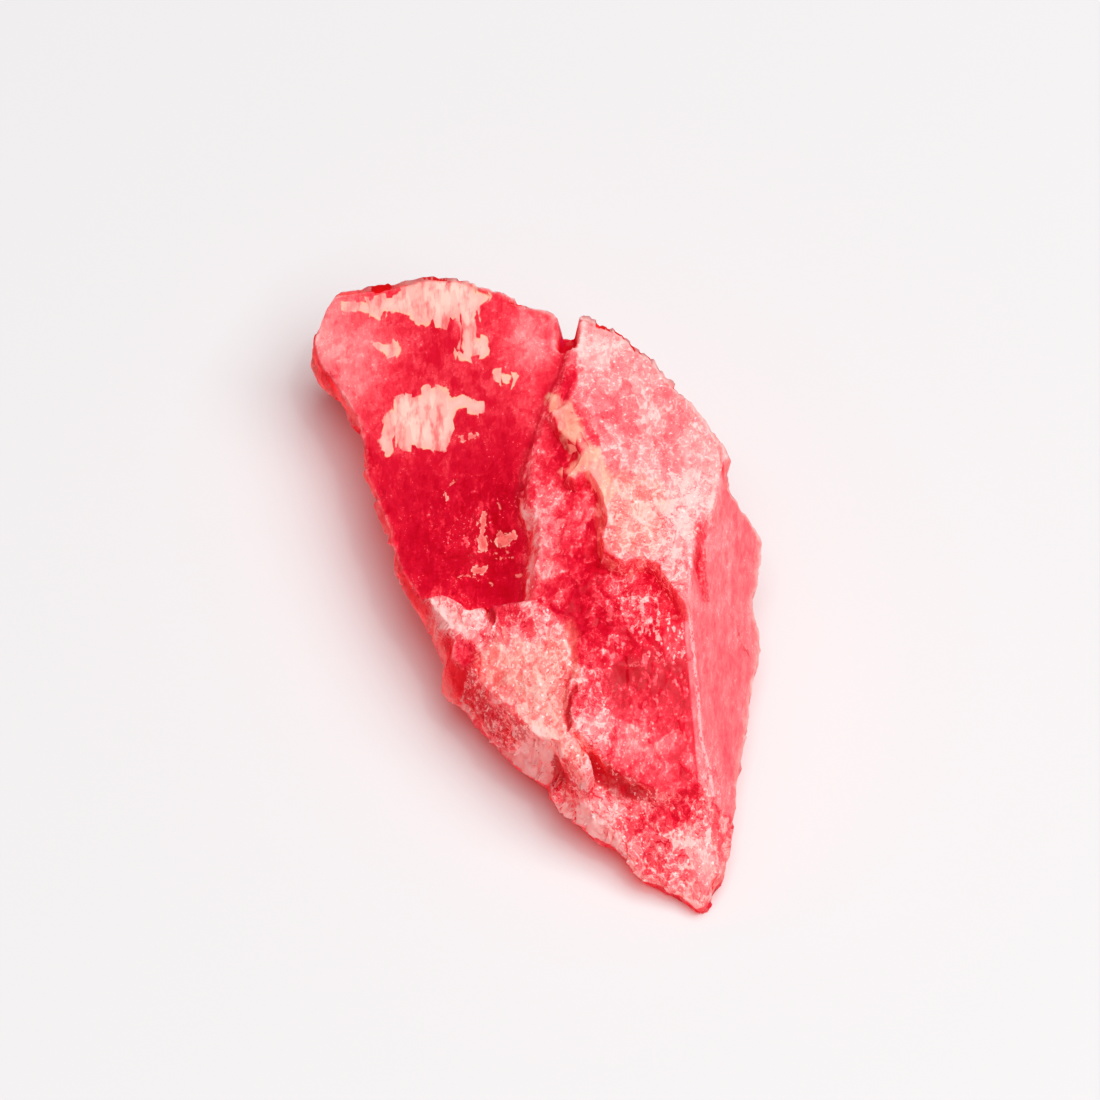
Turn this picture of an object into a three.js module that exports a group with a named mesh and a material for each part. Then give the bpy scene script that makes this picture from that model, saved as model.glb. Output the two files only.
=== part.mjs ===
// A rough rhodonite: one piece of translucent red stone, broken on every side, lying on its broad base.
//
// Millimetres. X runs along the stone from its blunt end (-X) to its point (+X), Y across it from the low
// front edge to the high back edge, and Z up from the surface that it lies on. The origin is on that surface,
// under the middle of the stone.
//
// The stone is lofted from cross sections. A rim line runs round it at its widest. Above the rim the surface
// is a pile of broken layers, each with its own outline and its own flat, tilted top. Below the rim the
// facets of the underside draw in to a flat base.

import * as THREE from "three";
import { LoftGeometry } from "three/addons/geometries/LoftGeometry.js";

// ---------------------------------------------------------------- driving dimensions

const SECTIONS = 92; // cross sections along the stone
const TOP_STEPS = 37; // edges of a section above the rim
const BASE_STEPS = 15; // edges of a section below the rim
const RIM_CROWDING = 0.05; // how strongly the edges of a section crowd towards the rim
const LEDGE_PULL = 0.45; // corners this close to a ledge are moved onto its brow or its foot
const ORIGIN = new THREE.Vector3(1.95, -0.55, 0); // middle of the stone, in the coordinates of the lists

const RIM_MARGIN = 0.05; // the corners of the top stay this far inside the rim
const LEDGE = 0.28; // half the width in which the surface climbs from one layer to the next
const FRONT_WALL = 4.2; // rise of the front face above the rim, mm per mm
const BACK_WALL = 6.0; // rise of the back face above the rim, mm per mm
const FRONT_SIDE = 3.0; // fall of the front face below the rim, mm per mm
const BACK_SIDE = 4.5; // fall of the back face below the rim, mm per mm
const EDGE_THICKNESS = 1.6; // the underside stays this far under the top where the stone is thin
const END_REACH = 0.15; // how far each end comes to a point beyond its last section

// The rim, from the blunt end to the point, as [x, y, z]. The front half faces -Y.
const FRONT_RIM = [
  [-19.6, -4.3, 6.6], [-19.3, -5.2, 5.6], [-18.5, -6.2, 4.7], [-17.7, -6.9, 4.3], [-16.3, -7.2, 4.5],
  [-14.8, -7.1, 4.9], [-13.4, -7.0, 5.3], [-11.8, -7.0, 5.6], [-10.0, -7.4, 5.7], [-8.2, -8.2, 5.6],
  [-6.1, -8.6, 5.6], [-4.0, -8.9, 5.5], [-2.0, -9.6, 5.3], [-0.4, -9.8, 5.1], [1.4, -9.8, 4.8],
  [3.4, -9.8, 4.3], [4.6, -9.9, 3.9], [5.4, -10.6, 3.4], [6.4, -10.5, 3.2], [7.7, -10.1, 3.1],
  [9.6, -9.8, 3.0], [11.3, -9.6, 3.0], [12.5, -9.1, 3.0], [13.5, -8.5, 3.0], [14.1, -8.7, 2.8],
  [15.0, -8.6, 2.7], [16.1, -8.2, 2.7], [17.4, -7.8, 2.6], [18.3, -6.9, 2.4], [19.1, -6.8, 2.1],
  [20.6, -6.5, 1.6], [22.0, -5.4, 1.2], [23.1, -4.7, 0.9], [23.5, -4.5, 0.9],
];
const BACK_RIM = [
  [-19.6, -3.8, 7.2], [-18.7, -2.6, 7.9], [-17.6, -0.9, 8.6], [-16.8, 0.7, 9.1], [-15.3, 2.3, 9.3],
  [-14.4, 2.6, 9.4], [-13.3, 3.5, 9.6], [-11.5, 4.4, 9.8], [-10.0, 5.3, 10.0], [-9.8, 5.6, 8.1],
  [-9.3, 6.1, 8.1], [-9.1, 6.4, 10.5], [-8.1, 7.1, 10.5], [-6.8, 7.8, 10.5], [-5.3, 8.1, 10.5],
  [-4.6, 8.4, 10.5], [-2.9, 8.5, 10.5], [-0.5, 8.8, 10.5], [1.5, 8.9, 10.4], [2.4, 8.9, 10.3],
  [3.7, 8.7, 10.1], [4.1, 8.5, 9.3], [4.6, 8.4, 8.6], [5.1, 8.8, 7.2], [5.8, 9.4, 5.6],
  [6.4, 9.5, 4.8], [8.0, 8.3, 4.6], [9.4, 7.2, 4.4], [11.2, 6.6, 3.1], [12.3, 5.8, 2.9],
  [14.2, 4.3, 2.9], [16.1, 2.8, 2.7], [18.6, 0.8, 2.5], [20.4, -0.4, 2.1], [22.3, -1.8, 1.8],
  [22.9, -2.5, 1.6], [23.0, -2.9, 1.5], [23.5, -3.6, 1.1],
];

// Outlines of the layers, seen from above. Where a layer runs out to the rim its outline passes beyond it.
const CORE = [
  [-9.2, 6.3], [-7.6, 4.8], [-6.2, 3.4], [-5.0, 1.9], [-3.6, 0.4], [-2.8, -0.4], [-1.2, -1.8], [0.0, -2.4],
  [1.9, -2.6], [3.4, -3.9], [4.8, -4.8], [5.9, -5.3], [8.0, -14.0], [30.0, -14.0], [30.0, 14.0], [-9.2, 14.0],
];
const SHOULDER = [
  [-9.2, 6.3], [-7.9, 5.3], [-6.5, 4.4], [-5.4, 3.9], [-4.1, 2.6], [-4.1, 1.4], [-2.5, 1.2], [-1.1, 1.6],
  [-0.4, 1.5], [0.4, 0.1], [0.9, 0.4], [0.8, 1.3], [1.8, 1.3], [2.7, 1.0], [4.0, 0.6], [5.1, -0.4],
  [6.1, -0.7], [7.3, -0.1], [7.6, 1.0], [8.3, 1.4], [10.0, 1.4], [11.6, 1.5], [9.3, 3.2], [7.1, 5.1],
  [6.7, 6.1], [6.0, 6.7], [4.0, 8.3], [3.6, 12.0], [-9.2, 12.0],
];
const SHELF = [
  [1.3, -9.5], [1.9, -8.7], [2.7, -8.2], [3.6, -7.8], [4.3, -7.1], [5.0, -6.0], [5.5, -5.2], [6.5, -4.5],
  [7.7, -4.2], [8.7, -4.2], [9.7, -4.5], [10.6, -5.0], [11.5, -6.0], [12.3, -6.6], [13.3, -6.8], [14.2, -6.7],
  [15.2, -6.7], [15.9, -6.8], [16.1, -7.8], [14.3, -8.3], [12.9, -8.6], [10.1, -8.9], [8.3, -9.4],
  [7.5, -9.5], [6.6, -8.9], [5.5, -8.8], [4.1, -9.3], [3.2, -9.7],
];
const TOE = [
  [13.0, -7.6], [13.8, -6.9], [15.2, -6.4], [16.2, -6.0], [16.8, -5.8], [17.6, -5.0], [18.4, -4.2],
  [19.0, -3.1], [19.2, -1.9], [20.0, -1.0], [21.0, 3.0], [28.0, 4.0], [28.0, -14.0], [13.0, -14.0],
];
const FLAKE = [
  [14.3, -8.8], [14.9, -7.4], [15.7, -6.9], [16.7, -6.6], [17.9, -6.5], [18.4, -7.4], [16.8, -9.0],
  [15.3, -9.0],
];

// Lines that are cut into the top.
const NOTCH = [[-9.8, 6.0], [-8.0, 4.85]];
const GROOVE = [[6.8, 5.5], [7.7, 4.6], [8.6, 3.9], [10.6, 2.9], [12.1, 2.3], [13.2, 2.0]];

// Facets of the underside, each a plane: [height over the origin of the lists, rise along X, rise along Y].
const UNDERSIDE = [
  [-7.6, -0.62, 0.1], // under the blunt end
  [-8.6, -0.45, -0.75], // front, from the blunt end to the point
  [-6.6, -0.26, -1.15],
  [-10.3, 0.22, -1.1],
  [-13.5, 0.42, -0.85],
  [-3.4, -0.28, -0.62], // low facet along the front
  [-9.4, -0.94, 1.41], // back, from the blunt end to the point
  [-9.3, -0.2, 2.2],
  [-12.4, 0.72, 0.96],
  [-3.9, 0.1, 0.95], // low facet along the back
];

// Broad swells (height above 0) and hollows (below 0), each as
// [x, y, radius along, radius across, turn in degrees, height].
const PLATE_HOLLOWS = [
  [1.8, -4.4, 4.6, 3.0, -25, -1.1], // bowl under the core's cliff
  [-8.0, -3.0, 7.0, 4.0, -20, -0.3], // shallow dish of the blunt end
];
const SWELLS = [
  [-13.5, -5.2, 2.6, 1.4, 5, 0.22],
  [-12.5, 1.2, 3.0, 1.3, 35, 0.16],
  [-1.5, 5.6, 2.6, 1.7, 10, -0.3], // dip in the shoulder
  [2.6, 4.0, 2.4, 1.5, -20, 0.2],
  [6.0, -2.6, 2.2, 1.3, 15, 0.24],
  [12.0, -2.2, 2.4, 1.1, -40, -0.22],
  [15.6, -3.2, 2.0, 1.0, -35, 0.26],
  [9.4, -7.0, 2.0, 1.2, 10, 0.24],
  [11.5, 4.6, 4.2, 0.9, -33, -0.22], // long hollow in the back slope
  [20.2, -4.6, 1.6, 1.0, -20, 0.2],
];

// ---------------------------------------------------------------- small functions of a point in plan

function lineValue(line, x, column) {
  let i = 1;
  while (i < line.length - 1 && line[i][0] < x) {
    i += 1;
  }
  const [from, to] = [line[i - 1], line[i]];
  return THREE.MathUtils.mapLinear(x, from[0], to[0], from[column], to[column]);
}

function distanceToEdge(x, y, from, to) {
  const [ex, ey] = [to[0] - from[0], to[1] - from[1]];
  const along = ((x - from[0]) * ex + (y - from[1]) * ey) / (ex * ex + ey * ey);
  const t = THREE.MathUtils.clamp(along, 0, 1);
  return Math.hypot(x - from[0] - t * ex, y - from[1] - t * ey);
}

function distanceToLine(x, y, line) {
  let nearest = Infinity;
  for (let i = 1; i < line.length; i += 1) {
    nearest = Math.min(nearest, distanceToEdge(x, y, line[i - 1], line[i]));
  }
  return nearest;
}

// Distance from the outline, positive inside it.
function depthInside(x, y, outline) {
  let inside = false;
  for (let i = 0; i < outline.length; i += 1) {
    const [a, b] = [outline[i], outline[(i + 1) % outline.length]];
    if (a[1] > y !== b[1] > y && x < a[0] + ((y - a[1]) * (b[0] - a[0])) / (b[1] - a[1])) {
      inside = !inside;
    }
  }
  const lastEdge = distanceToEdge(x, y, outline[outline.length - 1], outline[0]);
  const distance = Math.min(distanceToLine(x, y, outline), lastEdge);
  return inside ? distance : -distance;
}

// How far a point belongs to a layer: 0 outside its outline, 1 inside, climbing over the ledge's width.
function layerWeight(x, y, outline) {
  return THREE.MathUtils.smoothstep(depthInside(x, y, outline), -LEDGE, LEDGE);
}

function softMin(a, b, radius) {
  const h = THREE.MathUtils.clamp(0.5 + (0.5 * (b - a)) / radius, 0, 1);
  return b * (1 - h) + a * h - radius * h * (1 - h);
}

// The summed height of a list of swells.
function swellHeight(x, y, swells) {
  let height = 0;
  for (const [cx, cy, along, across, turn, rise] of swells) {
    const angle = THREE.MathUtils.degToRad(turn);
    const u = (x - cx) * Math.cos(angle) + (y - cy) * Math.sin(angle);
    const v = (y - cy) * Math.cos(angle) - (x - cx) * Math.sin(angle);
    height += rise * Math.exp(-((u / along) ** 2) - (v / across) ** 2);
  }
  return height;
}

// ---------------------------------------------------------------- the stone's surface

function rimAt(x) {
  return {
    yFront: lineValue(FRONT_RIM, x, 1),
    zFront: lineValue(FRONT_RIM, x, 2),
    yBack: lineValue(BACK_RIM, x, 1),
    zBack: lineValue(BACK_RIM, x, 2),
  };
}

// Height of the broken layers at (x, y), before the rim trims them.
function layers(x, y) {
  // The blunt end's plate tilts down to the front, and sinks to a bowl beside the core.
  let z = softMin(9.55 + 0.058 * x + 0.37 * y, 9.66 + 0.06 * y, 1.2);
  z += swellHeight(x, y, PLATE_HOLLOWS);

  // The core rises over it in a cliff, and falls away towards the point.
  const core = softMin(9.6 + 0.2 * y, 15.6 - 0.5 * x + 0.2 * y, 0.35);
  z = THREE.MathUtils.lerp(z, core, layerWeight(x, y, CORE));

  // One long smooth plane cuts the back down to the point.
  const backSlope = 26.17 - 1.2051 * x - 1.4445 * y;
  z = softMin(z, backSlope, 0.12);

  // The shoulder stands on the core, above the back slope.
  z = THREE.MathUtils.lerp(z, 10.6 + 0.03 * x, layerWeight(x, y, SHOULDER));

  // The toe lies a step lower and runs down to the point, with one flake left on it.
  const toe = softMin(19.98 - 0.7 * x + 0.6 * y, 6.1 + 0.15 * y, 0.4);
  z = THREE.MathUtils.lerp(z, Math.min(toe, z - 0.1), layerWeight(x, y, TOE));
  z += 0.35 * layerWeight(x, y, FLAKE);

  // The shelf is a plate that lies on the front of the core.
  const shelf = softMin(11.936 - 0.0734 * x + 0.5556 * y, 9.48 - 0.06 * x, 0.4);
  z = THREE.MathUtils.lerp(z, shelf, layerWeight(x, y, SHELF));

  z += swellHeight(x, y, SWELLS);
  z = Math.min(z, 8.1 + 8 * Math.max(distanceToLine(x, y, NOTCH) - 0.4, 0));
  z -= 0.45 * Math.exp(-((distanceToLine(x, y, GROOVE) / 0.28) ** 2));
  return z;
}

function topHeight(x, y, rim) {
  const front = rim.zFront + FRONT_WALL * (y - rim.yFront);
  const back = rim.zBack + BACK_WALL * (rim.yBack - y);
  return Math.min(layers(x, y), front, back);
}

// Below the rim a short steep side leads down to the facets of the underside, and they to the flat base.
function baseHeight(x, y, rim) {
  const front = rim.zFront - FRONT_SIDE * (y - rim.yFront);
  const back = rim.zBack - BACK_SIDE * (rim.yBack - y);
  const facets = UNDERSIDE.map(([atZero, alongX, alongY]) => atZero + alongX * x + alongY * y);
  const underside = Math.min(Math.max(...facets), topHeight(x, y, rim) - EDGE_THICKNESS);
  return Math.max(0, front, back, underside);
}

// ---------------------------------------------------------------- sections and mesh

// Fraction of the way across the stone for step i of a row, with the steps drawn closer near both rims.
function across(i, steps) {
  return i / steps - RIM_CROWDING * Math.sin((2 * Math.PI * i) / steps);
}

// Moves a corner that is close to a ledge straight onto its brow or its foot, so the ledge is a clean line.
function pullToLedge(corner, outline) {
  const depth = depthInside(corner.x, corner.y, outline);
  if (Math.abs(depth) > LEDGE_PULL) {
    return;
  }
  const reach = 0.02;
  const slope = new THREE.Vector2(
    depthInside(corner.x + reach, corner.y, outline) - depthInside(corner.x - reach, corner.y, outline),
    depthInside(corner.x, corner.y + reach, outline) - depthInside(corner.x, corner.y - reach, outline),
  ).normalize();
  const move = Math.sign(depth) * LEDGE - depth;
  corner.x += slope.x * move;
  corner.y += slope.y * move;
}

// A corner of the top, in plan, pulled to the ledges and kept inside the rim.
function topCorner(x, y) {
  const corner = new THREE.Vector3(x, y, 0);
  for (const outline of [CORE, SHOULDER, TOE, SHELF, FLAKE]) {
    pullToLedge(corner, outline);
  }
  const rim = rimAt(corner.x);
  corner.y = THREE.MathUtils.clamp(corner.y, rim.yFront + RIM_MARGIN, rim.yBack - RIM_MARGIN);
  corner.z = topHeight(corner.x, corner.y, rim);
  return corner;
}

// One closed ring: under the stone from the front rim to the back rim, then over the top to the front again.
function section(x) {
  const rim = rimAt(x);
  const ring = [new THREE.Vector3(x, rim.yFront, rim.zFront)];
  for (let i = 1; i < BASE_STEPS; i += 1) {
    const y = THREE.MathUtils.lerp(rim.yFront, rim.yBack, across(i, BASE_STEPS));
    ring.push(new THREE.Vector3(x, y, baseHeight(x, y, rim)));
  }
  ring.push(new THREE.Vector3(x, rim.yBack, rim.zBack));
  for (let i = 1; i < TOP_STEPS; i += 1) {
    ring.push(topCorner(x, THREE.MathUtils.lerp(rim.yBack, rim.yFront, across(i, TOP_STEPS))));
  }
  return ring;
}

// The rings of the two ends draw together in one point each, a little way out from the last section.
function endPoint(ring, reach) {
  const middle = ring.reduce((sum, corner) => sum.add(corner), new THREE.Vector3()).divideScalar(ring.length);
  middle.x += reach;
  return ring.map(() => middle);
}

// Each four-cornered patch of the loft is two triangles. Where the other way across a patch is more level,
// the edge between them is turned, so that it runs along a ledge and not over it.
function levelDiagonals(geometry) {
  const position = geometry.getAttribute("position");
  const index = geometry.getIndex();
  const drop = (from, to) => Math.abs(position.getZ(from) - position.getZ(to));
  for (let i = 0; i < index.count; i += 6) {
    const [a, b, d, c] = [0, 1, 2, 4].map((k) => index.getX(i + k));
    if (drop(a, c) < drop(b, d)) {
      [a, b, c, a, c, d].forEach((corner, k) => index.setX(i + k, corner));
    }
  }
  geometry.computeVertexNormals();
  return geometry;
}

const [bluntEnd, point] = [FRONT_RIM[0][0], FRONT_RIM[FRONT_RIM.length - 1][0]];
const sections = [];
for (let i = 0; i <= SECTIONS; i += 1) {
  sections.push(section(THREE.MathUtils.lerp(bluntEnd, point, i / SECTIONS)));
}
sections.unshift(endPoint(sections[0], -END_REACH));
sections.push(endPoint(sections[sections.length - 1], END_REACH));

const rhodonite = new THREE.Mesh(
  levelDiagonals(new LoftGeometry(sections)),
  new THREE.MeshStandardMaterial({ color: 0xd83a4c, roughness: 0.38, metalness: 0 }),
);
rhodonite.name = "rhodonite";
rhodonite.position.copy(ORIGIN).negate();

const stone = new THREE.Group();
stone.add(rhodonite);

export default stone;
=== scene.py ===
# %% [markdown]
# # A rough rhodonite
# The object is one piece of translucent red stone, a little over four centimetres long, broken on every
# side and lying on its broad base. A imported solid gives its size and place; this lesson gives it its broken
# skin, its colours and the way light goes into it. Every step is a cell, and each new shape is worked out
# with whole numpy arrays.

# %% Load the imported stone
import math

import bpy
import numpy as np
from mathutils import Matrix


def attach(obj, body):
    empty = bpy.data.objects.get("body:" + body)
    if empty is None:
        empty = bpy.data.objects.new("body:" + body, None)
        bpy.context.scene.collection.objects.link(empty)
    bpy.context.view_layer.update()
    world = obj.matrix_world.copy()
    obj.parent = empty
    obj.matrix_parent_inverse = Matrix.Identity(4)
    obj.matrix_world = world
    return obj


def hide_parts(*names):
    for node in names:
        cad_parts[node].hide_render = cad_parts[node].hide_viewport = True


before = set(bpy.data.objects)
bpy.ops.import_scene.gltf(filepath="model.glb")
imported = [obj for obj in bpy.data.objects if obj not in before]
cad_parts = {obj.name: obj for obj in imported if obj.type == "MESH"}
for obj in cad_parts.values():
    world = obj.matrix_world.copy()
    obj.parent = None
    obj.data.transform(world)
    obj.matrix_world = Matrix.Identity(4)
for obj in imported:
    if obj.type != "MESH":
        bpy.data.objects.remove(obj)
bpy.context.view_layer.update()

MM = 0.001

# %% [markdown]
# ## The camera
# The stone is seen from above and from its pointed end, at 55 degrees over the table, through a long lens,
# so that its lines stay nearly parallel. The camera is built from three directions: to the right, up and
# back.

# %% Camera
VIEW_TURN = math.radians(61.0)
VIEW_RISE = math.radians(55.0)
LENS_MM = 110.0
SENSOR_MM = 24.0
CAMERA_REACH = 292.4 * MM
AIM = np.array([-3.99, 0.995, 0.0]) * MM

view_back = np.array([
    math.sin(VIEW_TURN) * math.cos(VIEW_RISE),
    -math.cos(VIEW_TURN) * math.cos(VIEW_RISE),
    math.sin(VIEW_RISE),
])
view_right = np.array([math.cos(VIEW_TURN), math.sin(VIEW_TURN), 0.0])
view_up = np.cross(view_back, view_right)


def face(thing, place, right, up, back):
    """Puts an object at a place with its X, Y and Z axes along three given directions."""
    rows = np.eye(4)
    rows[:3, :3] = np.stack([right, up, back], axis=1)
    rows[:3, 3] = place
    thing.matrix_world = Matrix(rows.tolist())
    bpy.context.scene.collection.objects.link(thing)


lens = bpy.data.cameras.new("lens")
lens.lens = LENS_MM
lens.sensor_width = SENSOR_MM
lens.clip_start = 0.01
camera = bpy.data.objects.new("camera", lens)
face(camera, AIM + view_back * CAMERA_REACH, view_right, view_up, view_back)
bpy.context.scene.camera = camera
print("camera is", round(CAMERA_REACH, 3), "m from the table")

# %% [markdown]
# ## Random numbers that stay put
# A broken surface is irregular, but it has to be the same each time this file runs. A seeded random
# generator would do for a list, but its numbers depend on the order in which they are drawn. Here each
# whole-number point in space has its own fixed random number, and everything between is blended, so the
# value at a place never changes. Sums of such noise at finer and finer sizes make grain.


# %% Noise
def lattice(ix, iy, iz, seed):
    """The fixed random number, 0 to 1, of a whole-number point: its coordinates multiplied by large odd
    numbers, added and folded on themselves."""
    h = (ix * 374761393 + iy * 668265263 + iz * 1442695041 + seed * 1274126177) & 0xFFFFFFFF
    h = ((h ^ (h >> 13)) * 1274126177) & 0xFFFFFFFF
    h = ((h ^ (h >> 15)) * 2246822519) & 0xFFFFFFFF
    return ((h ^ (h >> 16)) & 0xFFFFFF) / 0xFFFFFF


def smooth_noise(p, size, seed):
    """Noise from -1 to 1: the eight lattice numbers round each point, each weighted by how near it is on
    every axis, with eased steps."""
    q = p / size
    cell = np.floor(q).astype(np.int64)
    t = q - cell
    t = t * t * (3 - 2 * t)
    total = 0
    for dx in (0, 1):
        for dy in (0, 1):
            for dz in (0, 1):
                weight = (
                    (t[..., 0] if dx else 1 - t[..., 0])
                    * (t[..., 1] if dy else 1 - t[..., 1])
                    * (t[..., 2] if dz else 1 - t[..., 2])
                )
                corner = lattice(cell[..., 0] + dx, cell[..., 1] + dy, cell[..., 2] + dz, seed)
                total = total + weight * corner
    return 2 * total - 1


def grain(p, size, octaves, seed):
    """Smooth noise at a size, plus half as much at half the size, and so on."""
    total = 0
    for k in range(octaves):
        total = total + smooth_noise(p, size / 2**k, seed + k) * 0.5**k
    return total / (2 - 0.5 ** (octaves - 1))


trial = np.random.default_rng(5).uniform(-20, 20, (2000, 3))
trial_noise = smooth_noise(trial, 1.0, 1)
print("noise spans", trial_noise.min().round(2), "to", trial_noise.max().round(2))

# %% [markdown]
# ## Shell-shaped breaks
# Where glassy stone breaks it leaves shallow bowls with sharp rims between them, as a shell has. Each bowl
# is a paraboloid round its own random point, and where two meet the lower one wins. Plain noise would look
# rounded on its crests too, like worn stone.


# %% Scoops
SCOOP_MEAN = 0.45


def scoops(p, size, seed, spread=0.5):
    """Shallow bowls with sharp rims between, 0 in a bowl's middle to about 1 at a rim: the lowest, over the
    random points nearby, of the squared distance to the point plus that point's own random height."""
    q = p / size
    cell = np.floor(q).astype(np.int64)
    lowest = np.full(q.shape[:-1], 9.0)
    for dx in (-1, 0, 1):
        for dy in (-1, 0, 1):
            for dz in (-1, 0, 1):
                c = [cell[..., 0] + dx, cell[..., 1] + dy, cell[..., 2] + dz]
                d2 = 0
                for axis in range(3):
                    d2 = d2 + (c[axis] + lattice(*c, seed + axis) - q[..., axis]) ** 2
                lowest = np.minimum(lowest, d2 + spread * lattice(*c, seed + 3))
    return lowest


print("scoops span", scoops(trial, 1.0, 1).min().round(2), "to", scoops(trial, 1.0, 1).max().round(2))

# %% [markdown]
# ## Flat chips and stairs
# Cleavage splits the crystal into flat chips, each tilted its own way, and into small stairs. A chip is the
# part of space that is nearer to one random point than to any other, cut off by a plane through that point.
# The stairs come from a smooth slope whose height is rounded down, with a short ramp from step to step.


# %% Chips and stairs
def chip_field(q, seed, lift=0.35):
    """Flat chips round random points, one to each unit cube. For every point: the height of its chip's own
    tilted plane plus the chip's own lift, the chip's random tone, how far the chip's border is, and the way
    to the chip's middle. All four follow from the nearest random point, and the border from the second."""
    cell = np.floor(q).astype(np.int64)
    nearest = np.full(q.shape[:-1], 9.0)
    second = np.full(q.shape[:-1], 9.0)
    height, tone = np.zeros(q.shape[:-1]), np.zeros(q.shape[:-1])
    middle = np.zeros(q.shape)
    for dx in (-1, 0, 1):
        for dy in (-1, 0, 1):
            for dz in (-1, 0, 1):
                c = [cell[..., 0] + dx, cell[..., 1] + dy, cell[..., 2] + dz]
                offset = np.stack([q[..., k] - c[k] - lattice(*c, seed + k) for k in range(3)], axis=-1)
                d2 = (offset**2).sum(axis=-1)
                tilt = np.stack([2 * lattice(*c, seed + 3 + k) - 1 for k in range(3)], axis=-1)
                closer = d2 < nearest
                second = np.where(closer, nearest, np.minimum(second, d2))
                nearest = np.where(closer, d2, nearest)
                own_height = (offset * tilt).sum(axis=-1) + lift * (lattice(*c, seed + 6) - 0.5)
                height = np.where(closer, own_height, height)
                tone = np.where(closer, lattice(*c, seed + 7) - 0.5, tone)
                middle = np.where(closer[..., None], -offset, middle)
    return height, tone, np.sqrt(second) - np.sqrt(nearest), middle


def steps_of(value, tread=0.35):
    """A ramp turned into stairs: the whole part, plus the rest climbed over the last part of each step."""
    whole = np.floor(value)
    return whole + np.clip((value - whole - tread) / (1 - tread), 0, 1) ** 2


trial_chips = chip_field(trial, 1)[0]
print("chips span", trial_chips.min().round(2), "to", trial_chips.max().round(2))

# %% [markdown]
# ## Plan shapes
# The stone is a pile of broken layers, and each layer has an outline seen from above. One function gives
# the distance from an outline, positive inside it. The height of a ledge, the line that it follows and the
# colours beside it are all worked out from that distance.


# %% Distances in plan
def edge_distance(x, y, a, b):
    """Distance from a straight edge: to the nearest of its points, found by projecting on it and clipping."""
    ex, ey = b[0] - a[0], b[1] - a[1]
    t = np.clip(((x - a[0]) * ex + (y - a[1]) * ey) / (ex * ex + ey * ey), 0, 1)
    return np.hypot(x - a[0] - t * ex, y - a[1] - t * ey)


def line_distance(x, y, line):
    """The smallest distance from any edge of an open line."""
    return np.min([edge_distance(x, y, a, b) for a, b in zip(line[:-1], line[1:])], axis=0)


def depth_inside(x, y, outline):
    """Distance from a closed outline, positive inside: the side is told by counting the edges that a ray
    towards -X crosses."""
    inside = np.zeros(np.shape(x), bool)
    for a, b in zip(outline, outline[1:] + outline[:1]):
        if a[1] != b[1]:
            crossing = a[0] + (y - a[1]) * (b[0] - a[0]) / (b[1] - a[1])
            inside ^= ((a[1] > y) != (b[1] > y)) & (x < crossing)
    distance = line_distance(x, y, outline + outline[:1])
    return np.where(inside, distance, -distance)


square = [[0.0, 0.0], [4.0, 0.0], [4.0, 4.0], [0.0, 4.0]]
print("a point in the middle of a 4 mm square lies", depth_inside(2.0, 2.0, square), "mm inside")

# %% [markdown]
# ## Soft changes
# A distance becomes a slope, a tone or a share by easing it from 0 to 1 over some width. Where two heights
# meet, a soft minimum rounds the corner between them, and a soft ellipse is a bell that needs no outline.


# %% Easing, rounding and blots
def ease(value, low, high):
    """0 at low, 1 at high, and a smooth S between; low may be the larger of the two."""
    t = np.clip((value - low) / (high - low), 0, 1)
    return t * t * (3 - 2 * t)


def soft_min(a, b, radius):
    """The smaller of two heights, with the corner between them rounded over a radius."""
    h = np.clip(0.5 + 0.5 * (b - a) / radius, 0, 1)
    return b * (1 - h) + a * h - radius * h * (1 - h)


def blots(x, y, rows, turn_degrees):
    """Summed soft ellipses, each a bell over its own two radii: [x, y, along, across, strength]."""
    turn = math.radians(turn_degrees)
    total = 0
    for cx, cy, along, across, strength in rows:
        u = (x - cx) * math.cos(turn) + (y - cy) * math.sin(turn)
        v = (y - cy) * math.cos(turn) - (x - cx) * math.sin(turn)
        total = total + strength * np.exp(-((u / along) ** 2) - (v / across) ** 2)
    return total


print("eased from 0 to 1 at a quarter of the way:", round(float(ease(0.25, 0, 1)), 3))

# %% [markdown]
# ## The rim and the layers
# These are the stone's own measures in millimetres: the rim where it is widest, as x, y and z, and the
# outline of each layer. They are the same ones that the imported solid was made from, so the skin lies on it.
# They could be drawn as curves instead, but short lists of points keep the corners that a broken stone has.
# The middle of the stone is a little off the lists' zero and is taken away at the end. Only the front side
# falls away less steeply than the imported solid's, so that the edge overhangs the table and its shadow
# closes up.

# %% Measures
MIDDLE = np.array([1.95, -0.55, 0.0])
FRONT_WALL = 4.2
BACK_WALL = 6.0
FRONT_SIDE = 2.2
BACK_SIDE = 4.5
EDGE_THICKNESS = 1.6

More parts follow.
